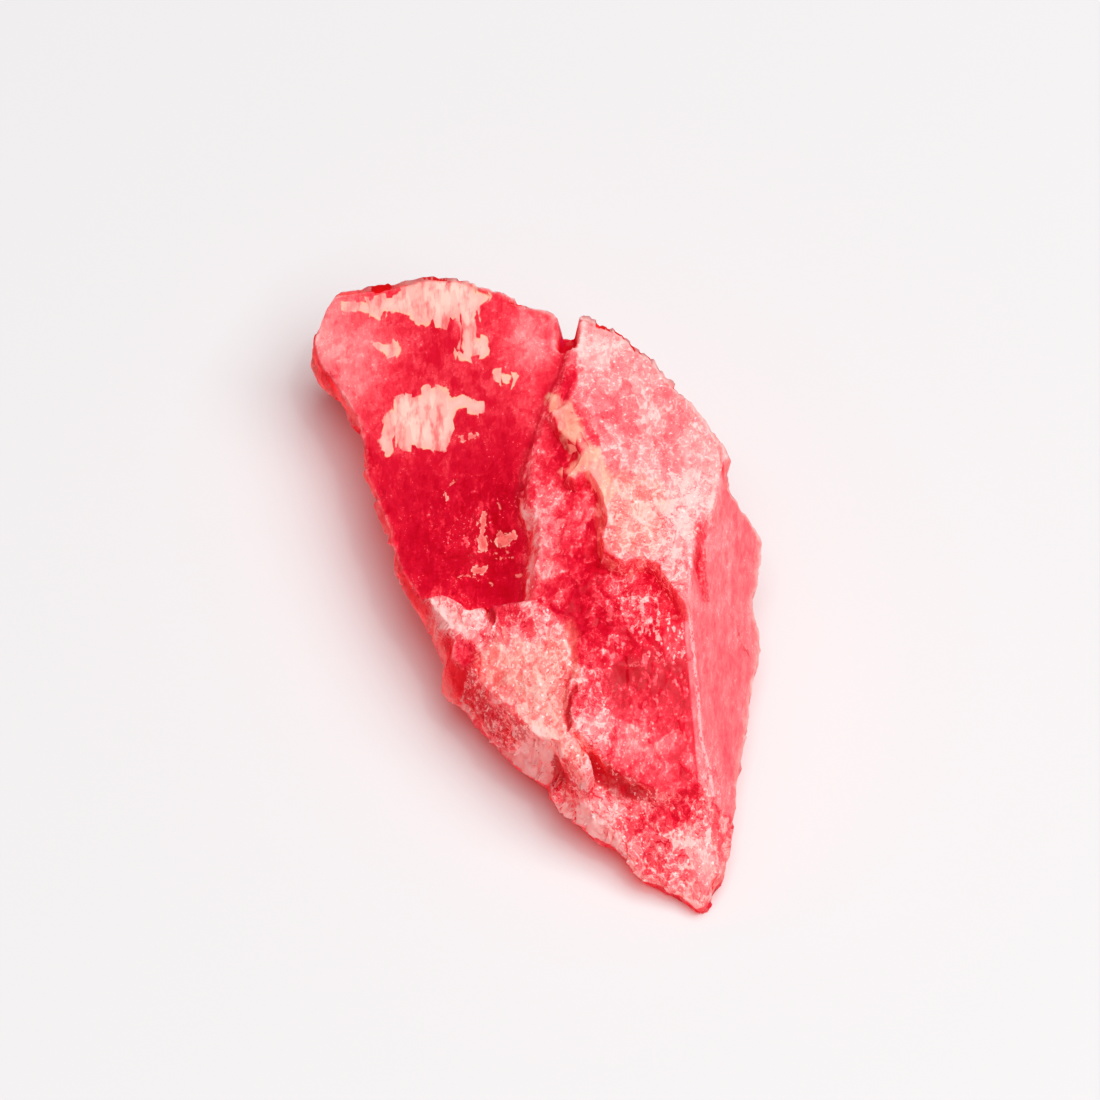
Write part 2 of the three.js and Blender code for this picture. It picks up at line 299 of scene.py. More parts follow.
FRONT_RIM = np.array([
    [-19.6, -4.3, 6.6], [-19.3, -5.2, 5.6], [-18.5, -6.2, 4.7], [-17.7, -6.9, 4.3], [-16.3, -7.2, 4.5],
    [-14.8, -7.1, 4.9], [-13.4, -7.0, 5.3], [-11.8, -7.0, 5.6], [-10.0, -7.4, 5.7], [-8.2, -8.2, 5.6],
    [-6.1, -8.6, 5.6], [-4.0, -8.9, 5.5], [-2.0, -9.6, 5.3], [-0.4, -9.8, 5.1], [1.4, -9.8, 4.8],
    [3.4, -9.8, 4.3], [4.6, -9.9, 3.9], [5.4, -10.6, 3.4], [6.4, -10.5, 3.2], [7.7, -10.1, 3.1],
    [9.6, -9.8, 3.0], [11.3, -9.6, 3.0], [12.5, -9.1, 3.0], [13.5, -8.5, 3.0], [14.1, -8.7, 2.8],
    [15.0, -8.6, 2.7], [16.1, -8.2, 2.7], [17.4, -7.8, 2.6], [18.3, -6.9, 2.4], [19.1, -6.8, 2.1],
    [20.6, -6.5, 1.6], [22.0, -5.4, 1.2], [23.1, -4.7, 0.9], [23.5, -4.5, 0.9],
])
BACK_RIM = np.array([
    [-19.6, -3.8, 7.2], [-18.7, -2.6, 7.9], [-17.6, -0.9, 8.6], [-16.8, 0.7, 9.1], [-15.3, 2.3, 9.3],
    [-14.4, 2.6, 9.4], [-13.3, 3.5, 9.6], [-11.5, 4.4, 9.8], [-10.0, 5.3, 10.0], [-9.8, 5.6, 8.1],
    [-9.3, 6.1, 8.1], [-9.1, 6.4, 10.5], [-8.1, 7.1, 10.5], [-6.8, 7.8, 10.5], [-5.3, 8.1, 10.5],
    [-4.6, 8.4, 10.5], [-2.9, 8.5, 10.5], [-0.5, 8.8, 10.5], [1.5, 8.9, 10.4], [2.4, 8.9, 10.3],
    [3.7, 8.7, 10.1], [4.1, 8.5, 9.3], [4.6, 8.4, 8.6], [5.1, 8.8, 7.2], [5.8, 9.4, 5.6],
    [6.4, 9.5, 4.8], [8.0, 8.3, 4.6], [9.4, 7.2, 4.4], [11.2, 6.6, 3.1], [12.3, 5.8, 2.9],
    [14.2, 4.3, 2.9], [16.1, 2.8, 2.7], [18.6, 0.8, 2.5], [20.4, -0.4, 2.1], [22.3, -1.8, 1.8],
    [22.9, -2.5, 1.6], [23.0, -2.9, 1.5], [23.5, -3.6, 1.1],
])
CORE = [
    [-9.2, 6.3], [-7.6, 4.8], [-6.2, 3.4], [-5.0, 1.9], [-3.6, 0.4], [-2.8, -0.4], [-1.2, -1.8], [0.0, -2.4],
    [1.9, -2.6], [3.4, -3.9], [4.8, -4.8], [5.9, -5.3], [8.0, -14.0], [30.0, -14.0], [30.0, 14.0],
    [-9.2, 14.0],
]
SHOULDER = [
    [-9.2, 6.3], [-7.9, 5.3], [-6.5, 4.4], [-5.4, 3.9], [-4.1, 2.6], [-4.1, 1.4], [-2.5, 1.2], [-1.1, 1.6],
    [-0.4, 1.5], [0.4, 0.1], [0.9, 0.4], [0.8, 1.3], [1.8, 1.3], [2.7, 1.0], [4.0, 0.6], [5.1, -0.4],
    [6.1, -0.7], [7.3, -0.1], [7.6, 1.0], [8.3, 1.4], [10.0, 1.4], [11.6, 1.5], [9.3, 3.2], [7.1, 5.1],
    [6.7, 6.1], [6.0, 6.7], [4.0, 8.3], [3.6, 12.0], [-9.2, 12.0],
]
SHELF = [
    [1.3, -9.5], [1.9, -8.7], [2.7, -8.2], [3.6, -7.8], [4.3, -7.1], [5.0, -6.0], [5.5, -5.2], [6.5, -4.5],
    [7.7, -4.2], [8.7, -4.2], [9.7, -4.5], [10.6, -5.0], [11.5, -6.0], [12.3, -6.6], [13.3, -6.8],
    [14.2, -6.7], [15.2, -6.7], [15.9, -6.8], [16.1, -7.8], [14.3, -8.3], [12.9, -8.6], [10.1, -8.9],
    [8.3, -9.4], [7.5, -9.5], [6.6, -8.9], [5.5, -8.8], [4.1, -9.3], [3.2, -9.7],
]
TOE = [
    [13.0, -7.6], [13.8, -6.9], [15.2, -6.4], [16.2, -6.0], [16.8, -5.8], [17.6, -5.0], [18.4, -4.2],
    [19.0, -3.1], [19.2, -1.9], [20.0, -1.0], [21.0, 3.0], [28.0, 4.0], [28.0, -14.0], [13.0, -14.0],
]
FLAKE = [
    [14.3, -8.8], [14.9, -7.4], [15.7, -6.9], [16.7, -6.6], [17.9, -6.5], [18.4, -7.4], [16.8, -9.0],
    [15.3, -9.0],
]
NOTCH = [[-9.8, 6.0], [-8.0, 4.85]]
GROOVE = [[6.8, 5.5], [7.7, 4.6], [8.6, 3.9], [10.6, 2.9], [12.1, 2.3], [13.2, 2.0]]
UNDERSIDE = [
    [-7.6, -0.62, 0.1], [-8.6, -0.45, -0.75], [-6.6, -0.26, -1.15], [-10.3, 0.22, -1.1], [-13.5, 0.42, -0.85],
    [-3.4, -0.28, -0.62], [-9.4, -0.94, 1.41], [-9.3, -0.2, 2.2], [-12.4, 0.72, 0.96], [-3.9, 0.1, 0.95],
]
PLATE_HOLLOWS = [
    [1.8, -4.4, 4.6, 3.0, -25, -1.1], [-8.0, -3.0, 7.0, 4.0, -20, -0.3],
]
SWELLS = [
    [-13.5, -5.2, 2.6, 1.4, 5, 0.22], [-12.5, 1.2, 3.0, 1.3, 35, 0.16], [-1.5, 5.6, 2.6, 1.7, 10, -0.3],
    [2.6, 4.0, 2.4, 1.5, -20, 0.2], [6.0, -2.6, 2.2, 1.3, 15, 0.24], [12.0, -2.2, 2.4, 1.1, -40, -0.22],
    [15.6, -3.2, 2.0, 1.0, -35, 0.26], [9.4, -7.0, 2.0, 1.2, 10, 0.24], [11.5, 4.6, 4.2, 0.9, -33, -0.22],
    [20.2, -4.6, 1.6, 1.0, -20, 0.2],
]
print("rim points:", len(FRONT_RIM), "front,", len(BACK_RIM), "back")

# %% [markdown]
# ## The planes of the broken layers
# Crystal breaks along planes, and each layer's top is one or two of them, with a rounded corner between.
# They are given by a height and two slopes. A ledge follows its outline only roughly on a broken stone, so
# each distance gets a little chatter first, from scoops and grain. Sharp ledges are steeper than the packed
# solid's, because this mesh is fine enough to hold them. The toe's and the core's are softer, because a
# face that slopes catches the lamp and lets light through, and an upright one turns dark.

# %% Planes and ledges
LEDGE = 0.13
TOE_LEDGE = 0.32
CORE_LEDGE = 0.45
CHATTER, CHATTER_SIZE = 0.13, 0.9
FLAKE_RISE = 0.35
NOTCH_FLOOR, NOTCH_HALF_WIDTH, NOTCH_SIDES = 8.1, 0.4, 8.0
GROOVE_DEPTH, GROOVE_HALF_WIDTH = 0.45, 0.22
GROOVE_FULL, GROOVE_GONE = 8.5, 11.5
LEAST_STEP = 0.1

# Every broken plane: its height at x = 0 and y = 0, then its rise along x and along y.
PLANES = {
    "plate": (9.55, 0.058, 0.37), "plate crest": (9.66, 0.0, 0.06),
    "core": (9.6, 0.0, 0.2), "core end": (15.6, -0.5, 0.2),
    "back slope": (26.17, -1.2051, -1.4445), "shoulder": (10.6, 0.03, 0.0),
    "toe": (19.98, -0.7, 0.6), "toe crest": (6.1, 0.0, 0.15),
    "shelf": (11.936, -0.0734, 0.5556), "shelf crest": (9.48, -0.06, 0.0),
}
LAYERS = {"core": CORE, "shoulder": SHOULDER, "toe": TOE, "flake": FLAKE, "shelf": SHELF}
CHATTER_SEEDS = {"core": 11, "shoulder": 21, "toe": 31, "flake": 41, "shelf": 51}


def plane(name, x, y):
    """Height of a broken plane: a level, plus a rise for each millimetre along x and along y."""
    level, rise_x, rise_y = PLANES[name]
    return level + rise_x * x + rise_y * y


def flat(x, y):
    """Plan points as points in space at height 0, for the noise functions."""
    return np.stack([x, y, np.zeros_like(x)], axis=-1)


def ragged_depth(x, y, outline, seed):
    """Distance inside an outline, with small bites: scoops push the edge in, grain moves it to and fro."""
    bites = scoops(flat(x, y), CHATTER_SIZE, seed) - SCOOP_MEAN
    sway = grain(flat(x, y), CHATTER_SIZE, 2, seed + 9)
    return depth_inside(x, y, outline) + CHATTER * (bites + 0.8 * sway)


def swell_height(x, y, rows):
    """Summed bells: [x, y, radius along, radius across, turn in degrees, height]."""
    return sum(rise * blots(x, y, [[cx, cy, a, b, 1.0]], turn) for cx, cy, a, b, turn, rise in rows)


def blend(low, high, depth, half_width=LEDGE):
    """Low outside a layer and high inside it, climbing within the ledge's width."""
    return low + (high - low) * ease(depth, -half_width, half_width)


print("broken planes:", len(PLANES), "layers:", len(LAYERS))

# %% [markdown]
# ## The pile
# Over each point of the plan the surface has one height, so the whole pile is one formula of x and y. It
# starts as the plate of the blunt end, and each layer then lifts or lowers it inside its own outline, in
# the order in which they lie on each other. Boxes cut and joined by boolean operations could give the same
# ledges, but their corners would be dead straight and every change would mean cutting again.


# %% The pile of layers
def layer_height(x, y):
    """Height of the pile of layers at a plan point, worked up layer by layer, in millimetres."""
    depth = {name: ragged_depth(x, y, LAYERS[name], seed) for name, seed in CHATTER_SEEDS.items()}
    z = soft_min(plane("plate", x, y), plane("plate crest", x, y), radius=1.2)
    z = z + swell_height(x, y, PLATE_HOLLOWS)
    core = soft_min(plane("core", x, y), plane("core end", x, y), radius=0.35)
    z = blend(z, core, depth["core"], CORE_LEDGE)
    z = soft_min(z, plane("back slope", x, y), radius=0.12)
    z = blend(z, plane("shoulder", x, y), depth["shoulder"])
    toe = soft_min(plane("toe", x, y), plane("toe crest", x, y), radius=0.4)
    z = blend(z, np.minimum(toe, z - LEAST_STEP), depth["toe"], TOE_LEDGE)
    z = z + FLAKE_RISE * ease(depth["flake"], -LEDGE, LEDGE)
    shelf = soft_min(plane("shelf", x, y), plane("shelf crest", x, y), radius=0.4)
    z = blend(z, shelf, depth["shelf"])
    z = z + swell_height(x, y, SWELLS)
    notch_away = np.maximum(line_distance(x, y, NOTCH) - NOTCH_HALF_WIDTH, 0)
    z = np.minimum(z, NOTCH_FLOOR + NOTCH_SIDES * notch_away)
    groove = np.exp(-((line_distance(x, y, GROOVE) / GROOVE_HALF_WIDTH) ** 2))
    return z - GROOVE_DEPTH * groove * ease(x, GROOVE_GONE, GROOVE_FULL)


pile_middle = layer_height(np.array([2.0]), np.array([0.0]))
print("height of the pile at the middle of the stone:", pile_middle.round(2), "mm")

# %% [markdown]
# ## The faces that rise from the rim and fall from it
# The rim is the stone's widest line. Above it, steep broken faces lead up to the pile, and below it the
# sides draw in to a few facets and a flat base. Of the heights above, the lowest holds, and of those below,
# the highest, as when a block is cut along planes.


# %% From rim to rim
def rim_at(x):
    """The rim's front y and z and back y and z at x, read off the rim lines."""
    return (
        np.interp(x, FRONT_RIM[:, 0], FRONT_RIM[:, 1]), np.interp(x, FRONT_RIM[:, 0], FRONT_RIM[:, 2]),
        np.interp(x, BACK_RIM[:, 0], BACK_RIM[:, 1]), np.interp(x, BACK_RIM[:, 0], BACK_RIM[:, 2]),
    )


def top_height(x, y):
    """The layers, trimmed by the steep front and back faces that rise from the rim."""
    y_front, z_front, y_back, z_back = rim_at(x)
    front = z_front + FRONT_WALL * (y - y_front)
    back = z_back + BACK_WALL * (y_back - y)
    return np.minimum(np.minimum(layer_height(x, y), front), back)


def under_height(x, y):
    """The highest of the flat base, the sides that fall from the rim and the facets of the underside."""
    y_front, z_front, y_back, z_back = rim_at(x)
    front = z_front - FRONT_SIDE * (y - y_front)
    back = z_back - BACK_SIDE * (y_back - y)
    facets = np.max([a + b * x + c * y for a, b, c in UNDERSIDE], axis=0)
    return np.max([0 * x, front, back, np.minimum(facets, top_height(x, y) - EDGE_THICKNESS)], axis=0)


print("height at the middle of the stone:", top_height(np.array([2.0]), np.array([0.0])).round(2), "mm")

# %% [markdown]
# ## One closed skin
# The skin is a grid of two parameters: how far along the stone, and how far round it. Each row of the grid
# is a closed ring that goes under the stone from the front rim to the back one and comes back over the top.
# Before its heights are read, a point that is close to a ledge slides onto the ledge's brow or foot, so
# that ledges are clean lines and not saw teeth. A height field alone could not hold the overhanging sides,
# and a sculpted or remeshed block would lose these lines.

# %% The grid of points
RINGS = 400
UNDER_POINTS = 46
TOP_POINTS = 194
END_REACH = 0.15
CROWDING = 0.05
PULL_WITHIN = 0.2
LONGEST_PULL = 0.12
SLOPE_STEP = 0.03
RIM_GUARD = 0.02


def across(count):
    """Fractions of the way from rim to rim, drawn closer near both rims by a sine."""
    t = np.arange(count) / count
    return t - CROWDING * np.sin(2 * np.pi * t)


def pull_to_ledge(x, y, outline, seed, half_width):
    """Moves points near a ragged outline to half a ledge's width from it: the distance still missing, divided
    by the slope of the distance, along the way in which the distance grows."""
    depth, step = ragged_depth(x, y, outline, seed), SLOPE_STEP
    gx = ragged_depth(x + step, y, outline, seed) - ragged_depth(x - step, y, outline, seed)
    gy = ragged_depth(x, y + step, outline, seed) - ragged_depth(x, y - step, outline, seed)
    length = np.hypot(gx, gy) + 1e-9
    missing = np.where(depth > 0, half_width, -half_width) - depth
    move = np.clip(missing * 2 * step / length, -LONGEST_PULL, LONGEST_PULL)
    move = np.where(np.abs(depth) < PULL_WITHIN, move, 0)
    return x + move * gx / length, y + move * gy / length


print("each ring has", UNDER_POINTS, "points below and", TOP_POINTS, "above")

# %% [markdown]
# ## The plain skin
# The rings are filled row by row from the two formulas: under the stone from the front rim to the back one,
# and back over the top. At the rims both halves meet in the rim line itself, so the skin closes there
# without a seam.

# %% The plain skin
x_lines = np.linspace(FRONT_RIM[0, 0], FRONT_RIM[-1, 0], RINGS)
y_front, z_front, y_back, z_back = rim_at(x_lines)

under_t = across(UNDER_POINTS)
under_x = np.repeat(x_lines[:, None], UNDER_POINTS, axis=1)
under_y = y_front[:, None] + (y_back - y_front)[:, None] * under_t
under_z = under_height(under_x, under_y)
under_z[:, 0] = z_front

top_t = across(TOP_POINTS)
top_x = np.repeat(x_lines[:, None], TOP_POINTS, axis=1)
top_y = y_back[:, None] + (y_front - y_back)[:, None] * top_t
inner_x, inner_y = top_x[:, 1:], top_y[:, 1:]
for name in ("shoulder", "shelf", "flake"):
    inner_x, inner_y = pull_to_ledge(inner_x, inner_y, LAYERS[name], CHATTER_SEEDS[name], LEDGE)
inner_x = np.clip(inner_x, FRONT_RIM[0, 0], FRONT_RIM[-1, 0])
low_y, _, high_y, _ = rim_at(inner_x)
inner_y = np.clip(inner_y, low_y + RIM_GUARD, high_y - RIM_GUARD)
top_x[:, 1:], top_y[:, 1:] = inner_x, inner_y
top_z = top_height(top_x, top_y)
top_z[:, 0] = z_back

plain = np.stack([
    np.concatenate([under_x, top_x], axis=1),
    np.concatenate([under_y, top_y], axis=1),
    np.concatenate([under_z, top_z], axis=1),
], axis=-1)
print("grid:", plain.shape, "heights up to", plain[..., 2].max().round(2), "mm")

# %% [markdown]
# ## Which way the skin faces
# Chips and grain have to stand out from the skin, on a steep face as much as on a level one, so the
# direction straight out of the skin is needed at every point. It is the cross product of the two grid
# directions. A softened copy of the skin tells brows from crevices: where the real skin stands out of the
# soft one it is a brow, and where it lies inside it is a crevice.


# %% Directions and brows
def along_rings(a, shift):
    """The grid shifted from ring to ring, with the end rings repeated."""
    index = np.clip(np.arange(len(a)) + shift, 0, len(a) - 1)
    return a[index]


def outward(grid):
    """Unit vectors out of the skin: the cross product of the step round a ring and the step from ring to
    ring, divided by its length."""
    round_step = np.roll(grid, -1, axis=1) - np.roll(grid, 1, axis=1)
    along_step = along_rings(grid, 1) - along_rings(grid, -1)
    normal = np.cross(round_step, along_step)
    return normal / (np.linalg.norm(normal, axis=-1, keepdims=True) + 1e-9)


def soften(grid, reach):
    """Averages each point with its neighbours, so many steps away, on both grid directions."""
    for _ in range(reach):
        grid = (np.roll(grid, 1, axis=1) + 2 * grid + np.roll(grid, -1, axis=1)) / 4
        grid = (along_rings(grid, 1) + 2 * grid + along_rings(grid, -1)) / 4
    return grid


normals = outward(plain)
smooth_normals = soften(normals, 3)
smooth_normals /= np.linalg.norm(smooth_normals, axis=-1, keepdims=True) + 1e-9
brow = ((plain - soften(plain, 10)) * smooth_normals).sum(axis=-1)
print("brows stand out by", brow.max().round(2), "mm, crevices lie in by", -brow.min().round(2), "mm")

# %% [markdown]
# ## Zones
# Each part of the stone broke in its own manner. The plate and the back slope (the slab) parted along
# smooth planes, the shoulder and the shelf are frosted with tiny steps, the middle face shows rows of
# cleavage, and the strip is the splintered wall along the front. Parts could be told apart by separate
# materials, but then their borders would be hard lines. A zone is instead a number from 0 to 1 at every
# point, from the same outlines as the layers.

# %% Zones
px, py, pz = plain[..., 0], plain[..., 1], plain[..., 2]
over = np.zeros(px.shape)
over[:, UNDER_POINTS:] = 1.0
steepness = 1 - np.abs(smooth_normals[..., 2])
over_slope = pz - plane("back slope", px, py)


def layer_zone(name):
    """1 inside a layer's outline and 0 outside it, over a border less than half a millimetre wide."""
    return over * ease(depth_inside(px, py, LAYERS[name]), -0.1, 0.3)


shoulder_zone, shelf_zone = layer_zone("shoulder"), layer_zone("shelf")
toe_zone = layer_zone("toe") * (1 - shelf_zone)
slab_zone = over * ease(over_slope, -0.50, -0.26) * (1 - shoulder_zone) * (1 - toe_zone)
plate_zone = over * ease(-depth_inside(px, py, CORE), 0.0, 0.3) * (1 - shelf_zone)
middle_zone = np.clip(over - shoulder_zone - shelf_zone - toe_zone - slab_zone - plate_zone, 0, 1)
strip_zone = over * ease(steepness, 0.4, 0.65) * ease(-smooth_normals[..., 1], 0.2, 0.5) * (1 - plate_zone)
under_zone = 1 - over
zones = {
    "plate": plate_zone, "slab": slab_zone, "shoulder": shoulder_zone, "middle": middle_zone,
    "shelf": shelf_zone, "toe": toe_zone, "strip": strip_zone, "under": under_zone,
}
for name, zone in zones.items():
    print("zone", name, "covers", round(float(zone.mean()) * 100, 1), "% of the points")


def by_zone(*amounts):
    """One number per point from one for each zone, in the order above. Each zone in turn moves the result
    towards its own amount by its share, so a later zone lies over an earlier one."""
    result = np.zeros(px.shape)
    for zone, amount in zip(zones.values(), amounts, strict=True):
        result = result + (amount - result) * zone
    return result


# %% [markdown]
# ## Gaps and a ridge
# In a few places a splinter has come away and left a narrow dark gap, and one low ridge runs down the back
# slope where two breaks met. They could be modelled as separate cuts, but they are shallow and follow the
# ledges, so outlines and a line in plan are enough.

# %% Gaps and ridge
GAPS = [
    [[3.7, -6.9], [4.9, -6.9], [5.6, -7.25], [5.1, -7.45], [4.6, -7.45]],
    [
        [11.7, -5.5], [11.8, -6.0], [12.3, -6.5], [12.5, -6.85], [13.4, -7.1], [13.4, -6.8], [12.7, -6.5],
        [12.2, -6.0], [12.1, -5.6],
    ],
    [[13.5, -7.9], [14.7, -8.0], [15.1, -7.9], [15.1, -8.2], [13.9, -8.5]],
    [
        [14.6, -6.5], [15.3, -6.15], [16.4, -5.8], [17.9, -4.7], [18.1, -4.6], [17.3, -5.6], [16.1, -6.5],
        [15.4, -6.7],
    ],
]
RIDGE = [
    [8.0, 3.7], [9.9, 2.7], [11.6, 1.7], [13.2, 1.0], [15.1, 0.2], [17.2, -0.7], [18.3, -0.8], [19.4, -1.2],
]
GAP_DEPTH, RIDGE_HEIGHT = 0.30, 0.035
ridge_length = sum(math.dist(a, b) for a, b in zip(RIDGE, RIDGE[1:]))
print("gaps:", len(GAPS), "ridge length:", round(ridge_length, 1), "mm")

# %% [markdown]
# ## Chips, steps and grain
# The relief is a height straight out of the skin, in millimetres. Broad scoops are the shell-shaped breaks
# of a glassy stone, flat chips and stairs are its cleavage steps, and fine grain frosts the rest. A
# displacement texture could do it too, but arrays can be measured, and the chips' own tones and borders are
# needed again for the colours. The crystal's cleavage runs in one direction across the whole stone, so the
# noise is stretched along it.

# %% The crystal's own directions
CLEAVAGE_TURN = math.radians(-29.0)
CLEAVAGE_DEGREES = math.degrees(CLEAVAGE_TURN)


def crystal_axes(p, stretch=3.0):
    """The same points measured along the cleavage, across it and upwards, with the first shortened, so that
    noise read there comes out drawn along the cleavage."""
    along = p[..., 0] * math.cos(CLEAVAGE_TURN) + p[..., 1] * math.sin(CLEAVAGE_TURN)
    side = p[..., 1] * math.cos(CLEAVAGE_TURN) - p[..., 0] * math.sin(CLEAVAGE_TURN)
    return np.stack([along / stretch, side, p[..., 2]], axis=-1)


def plan_shift(middle, size, stretch):
    """The way to a chip's middle, turned back from the crystal's axes to the plan's X and Y."""
    along, side = middle[..., 0] * size * stretch, middle[..., 1] * size
    return (
        along * math.cos(CLEAVAGE_TURN) - side * math.sin(CLEAVAGE_TURN),
        along * math.sin(CLEAVAGE_TURN) + side * math.cos(CLEAVAGE_TURN),
    )


print("the cleavage runs", round(CLEAVAGE_DEGREES), "degrees from the stone's length")

# %% [markdown]
# ## The broken textures
# Each texture is read at the skin's own points in space and not in plan, so it runs on over steep faces
# without stretching. A little slow noise is added to the places first (a warp), so that bowls and chips
# aren't all straight-sided.

# %% Broken textures
CHIP, CHIP_STRETCH = 1.25, 1.5
SMALL_CHIP, SMALL_STRETCH = 0.48, 1.7
STAIR_HEIGHT = 0.25
warp = np.stack([grain(plain, 2.5, 2, 300 + k) for k in range(3)], axis=-1)
fine_warp = np.stack([grain(plain, 0.7, 2, 320 + k) for k in range(3)], axis=-1)
broad = scoops(plain + 0.5 * warp, 2.6, 60) - SCOOP_MEAN
small_scoops = scoops(plain + 0.25 * warp, 0.9, 70) - SCOOP_MEAN
chips, chip_tone, chip_border, chip_middle = chip_field(
    (crystal_axes(plain, CHIP_STRETCH) + 0.3 * warp + 0.12 * fine_warp) / CHIP, 80)
small_chips, small_tone, small_border, small_middle = chip_field(
    (crystal_axes(plain, SMALL_STRETCH) + 0.12 * fine_warp) / SMALL_CHIP, 90)
slopes = grain(crystal_axes(plain, 2.2) + 0.3 * warp, 2.2, 3, 100)
stairs = steps_of(slopes / STAIR_HEIGHT + 8) * STAIR_HEIGHT - 8 * STAIR_HEIGHT
fine = grain(plain, 0.45, 3, 110)
ribs = grain(crystal_axes(plain, 9.0), 0.5, 2, 120)
print("stairs span", stairs.min().round(2), "to", stairs.max().round(2), "before their share")

# %% [markdown]
# ## How much of each
# Every texture gets one share for each zone, in millimetres: the plate and the slab are nearly smooth, and
# the strip and the toe are the roughest. The rim is chipped all round, as thin edges of a brittle stone
# are. The flat base stays flat, so that the stone lies still.

# %% Relief
SHARES = (
    # plate, slab, shoulder, middle, shelf, toe, strip, under
    (broad, (0.05, 0.04, 0.05, 0.10, 0.06, 0.08, 0.08, 0.12)),
    (small_scoops, (0.012, 0.0, 0.03, 0.035, 0.03, 0.04, 0.05, 0.03)),
    (chips, (0.012, 0.0, 0.08, 0.10, 0.08, 0.17, 0.22, 0.10)),
    (small_chips, (0.005, 0.0, 0.035, 0.03, 0.04, 0.06, 0.08, 0.02)),
    (stairs, (0.0, 0.0, 0.05, 0.08, 0.04, 0.08, 0.08, 0.03)),
    (fine, (0.006, 0.004, 0.015, 0.012, 0.018, 0.02, 0.02, 0.01)),
    (ribs, (0.004, 0.03, 0.0, 0.01, 0.0, 0.01, 0.0, 0.0)),
)
RIM_CHIPS, RIM_SMALL_CHIPS, RIM_WAVES = 0.16, 0.10, 0.10
OUT_OF_REACH = 4.0
BASE_LAYER = 0.02

relief = sum(by_zone(*shares) * texture for texture, shares in SHARES)
rim_front, _, rim_back, _ = rim_at(px)
rim_away = np.minimum(np.abs(py - rim_front), np.abs(py - rim_back))
rim_relief = RIM_CHIPS * chips + RIM_SMALL_CHIPS * small_chips + RIM_WAVES * grain(plain, 1.6, 3, 140)
relief = relief + ease(rim_away, 0.8, 0.1) * rim_relief

# Outlines and lines in plan belong to the top alone, so under the stone every distance gets this much longer.
below = OUT_OF_REACH * (1 - over)
gap_depth = np.max([depth_inside(px, py, gap) for gap in GAPS], axis=0) - below + 0.10 * fine
ridge_away = below + line_distance(px, py, RIDGE)
relief = relief - GAP_DEPTH * ease(gap_depth, -0.08, 0.12) + RIDGE_HEIGHT * ease(ridge_away, 0.16, 0.03)
relief = relief * (1 - under_zone * (pz < BASE_LAYER))
skin = plain + smooth_normals * relief[..., None]
skin[..., 2] = np.maximum(skin[..., 2], 0.0)
print("relief spans", relief.min().round(3), "to", relief.max().round(3), "mm")

# %% [markdown]
# ## Where the colours go
# The red of this stone is not even. Manganese-rich parts are deep crimson, crushed and cleaved parts
# scatter light and look frosted pink, and cream patches of another mineral lie in the plate and along the
# shoulder. An image laid over the stone could show this, but it would smear on the steep faces and stop at
# its own pixels. So colours are described the way the layers are, by outlines and soft blots in plan.

# %% Outlines of the minerals
CREAM_PATCHES = [
    [
        [-19.3, -4.0], [-18.1, -2.7], [-17.5, -1.4], [-17.4, -0.7], [-17.6, 0.0], [-17.4, 1.1], [-16.7, 2.1],
        [-15.9, 2.9], [-14.2, 2.5], [-13.6, 2.8], [-13.3, 2.0], [-12.5, 1.6], [-11.6, 1.1], [-11.1, 1.4],
        [-10.3, 1.1], [-10.1, 0.6], [-10.6, 0.2], [-10.4, -0.1], [-11.0, -0.5], [-11.8, -0.2], [-12.2, 0.1],
        [-13.5, 0.7], [-13.6, 0.3], [-13.1, -0.1], [-13.8, -0.6], [-14.2, -0.5], [-14.3, -0.9],
        [-15.1, -1.4], [-15.7, -1.4], [-16.2, -1.9], [-16.6, -2.4], [-16.5, -2.8], [-17.4, -3.4],
        [-18.0, -3.9], [-18.7, -4.3],
    ],
    [
        [-15.7, -4.0], [-15.2, -3.5], [-14.7, -2.9], [-14.0, -3.0], [-13.8, -3.3], [-14.0, -3.8],
        [-14.9, -4.0],
    ],
    [[-8.9, 0.7], [-8.7, 1.1], [-8.0, 1.7], [-7.7, 1.2], [-7.5, 0.7], [-8.0, 0.5]],
    [
        [-10.9, -2.9], [-10.4, -2.3], [-9.8, -2.1], [-9.1, -1.8], [-9.0, -1.3], [-8.6, -1.1], [-8.2, -1.1],
        [-7.7, -0.6], [-7.0, -1.0], [-7.1, -1.4], [-7.7, -1.7], [-8.1, -2.1], [-7.2, -2.9], [-6.3, -3.8],
        [-6.5, -4.2], [-7.3, -4.7], [-8.2, -5.7], [-9.2, -5.5], [-8.3, -6.6], [-8.9, -6.8], [-9.6, -6.7],
        [-9.8, -6.2], [-10.7, -5.4], [-10.7, -5.0], [-11.4, -4.6], [-11.3, -4.1], [-10.8, -3.6],
    ],
]
YELLOW_PATCHES = [
    [
        [-5.5, 2.3], [-4.9, 2.6], [-4.1, 2.7], [-4.3, 3.1], [-2.8, 2.8], [-1.1, 2.3], [0.1, 2.5], [1.3, 2.3],
        [3.0, 1.6], [3.5, 0.8], [2.3, 1.1], [1.2, 1.4], [0.6, 1.1], [0.5, 0.3], [-0.5, 0.5], [-0.7, 1.2],
        [-0.7, 1.7], [-1.6, 1.6], [-2.2, 1.4], [-3.0, 1.5], [-4.5, 1.7],
    ],
]
SHELF_CREAM = [
    [6.4, -8.7], [6.2, -7.8], [7.1, -6.9], [7.7, -6.0], [8.6, -5.0], [8.5, -4.2], [9.7, -4.5], [11.0, -5.4],
    [12.3, -6.4], [13.4, -7.1], [15.0, -6.4], [15.7, -7.7], [14.9, -7.9], [12.7, -8.2], [11.2, -8.6],
    [9.3, -9.0], [7.6, -9.4],
]
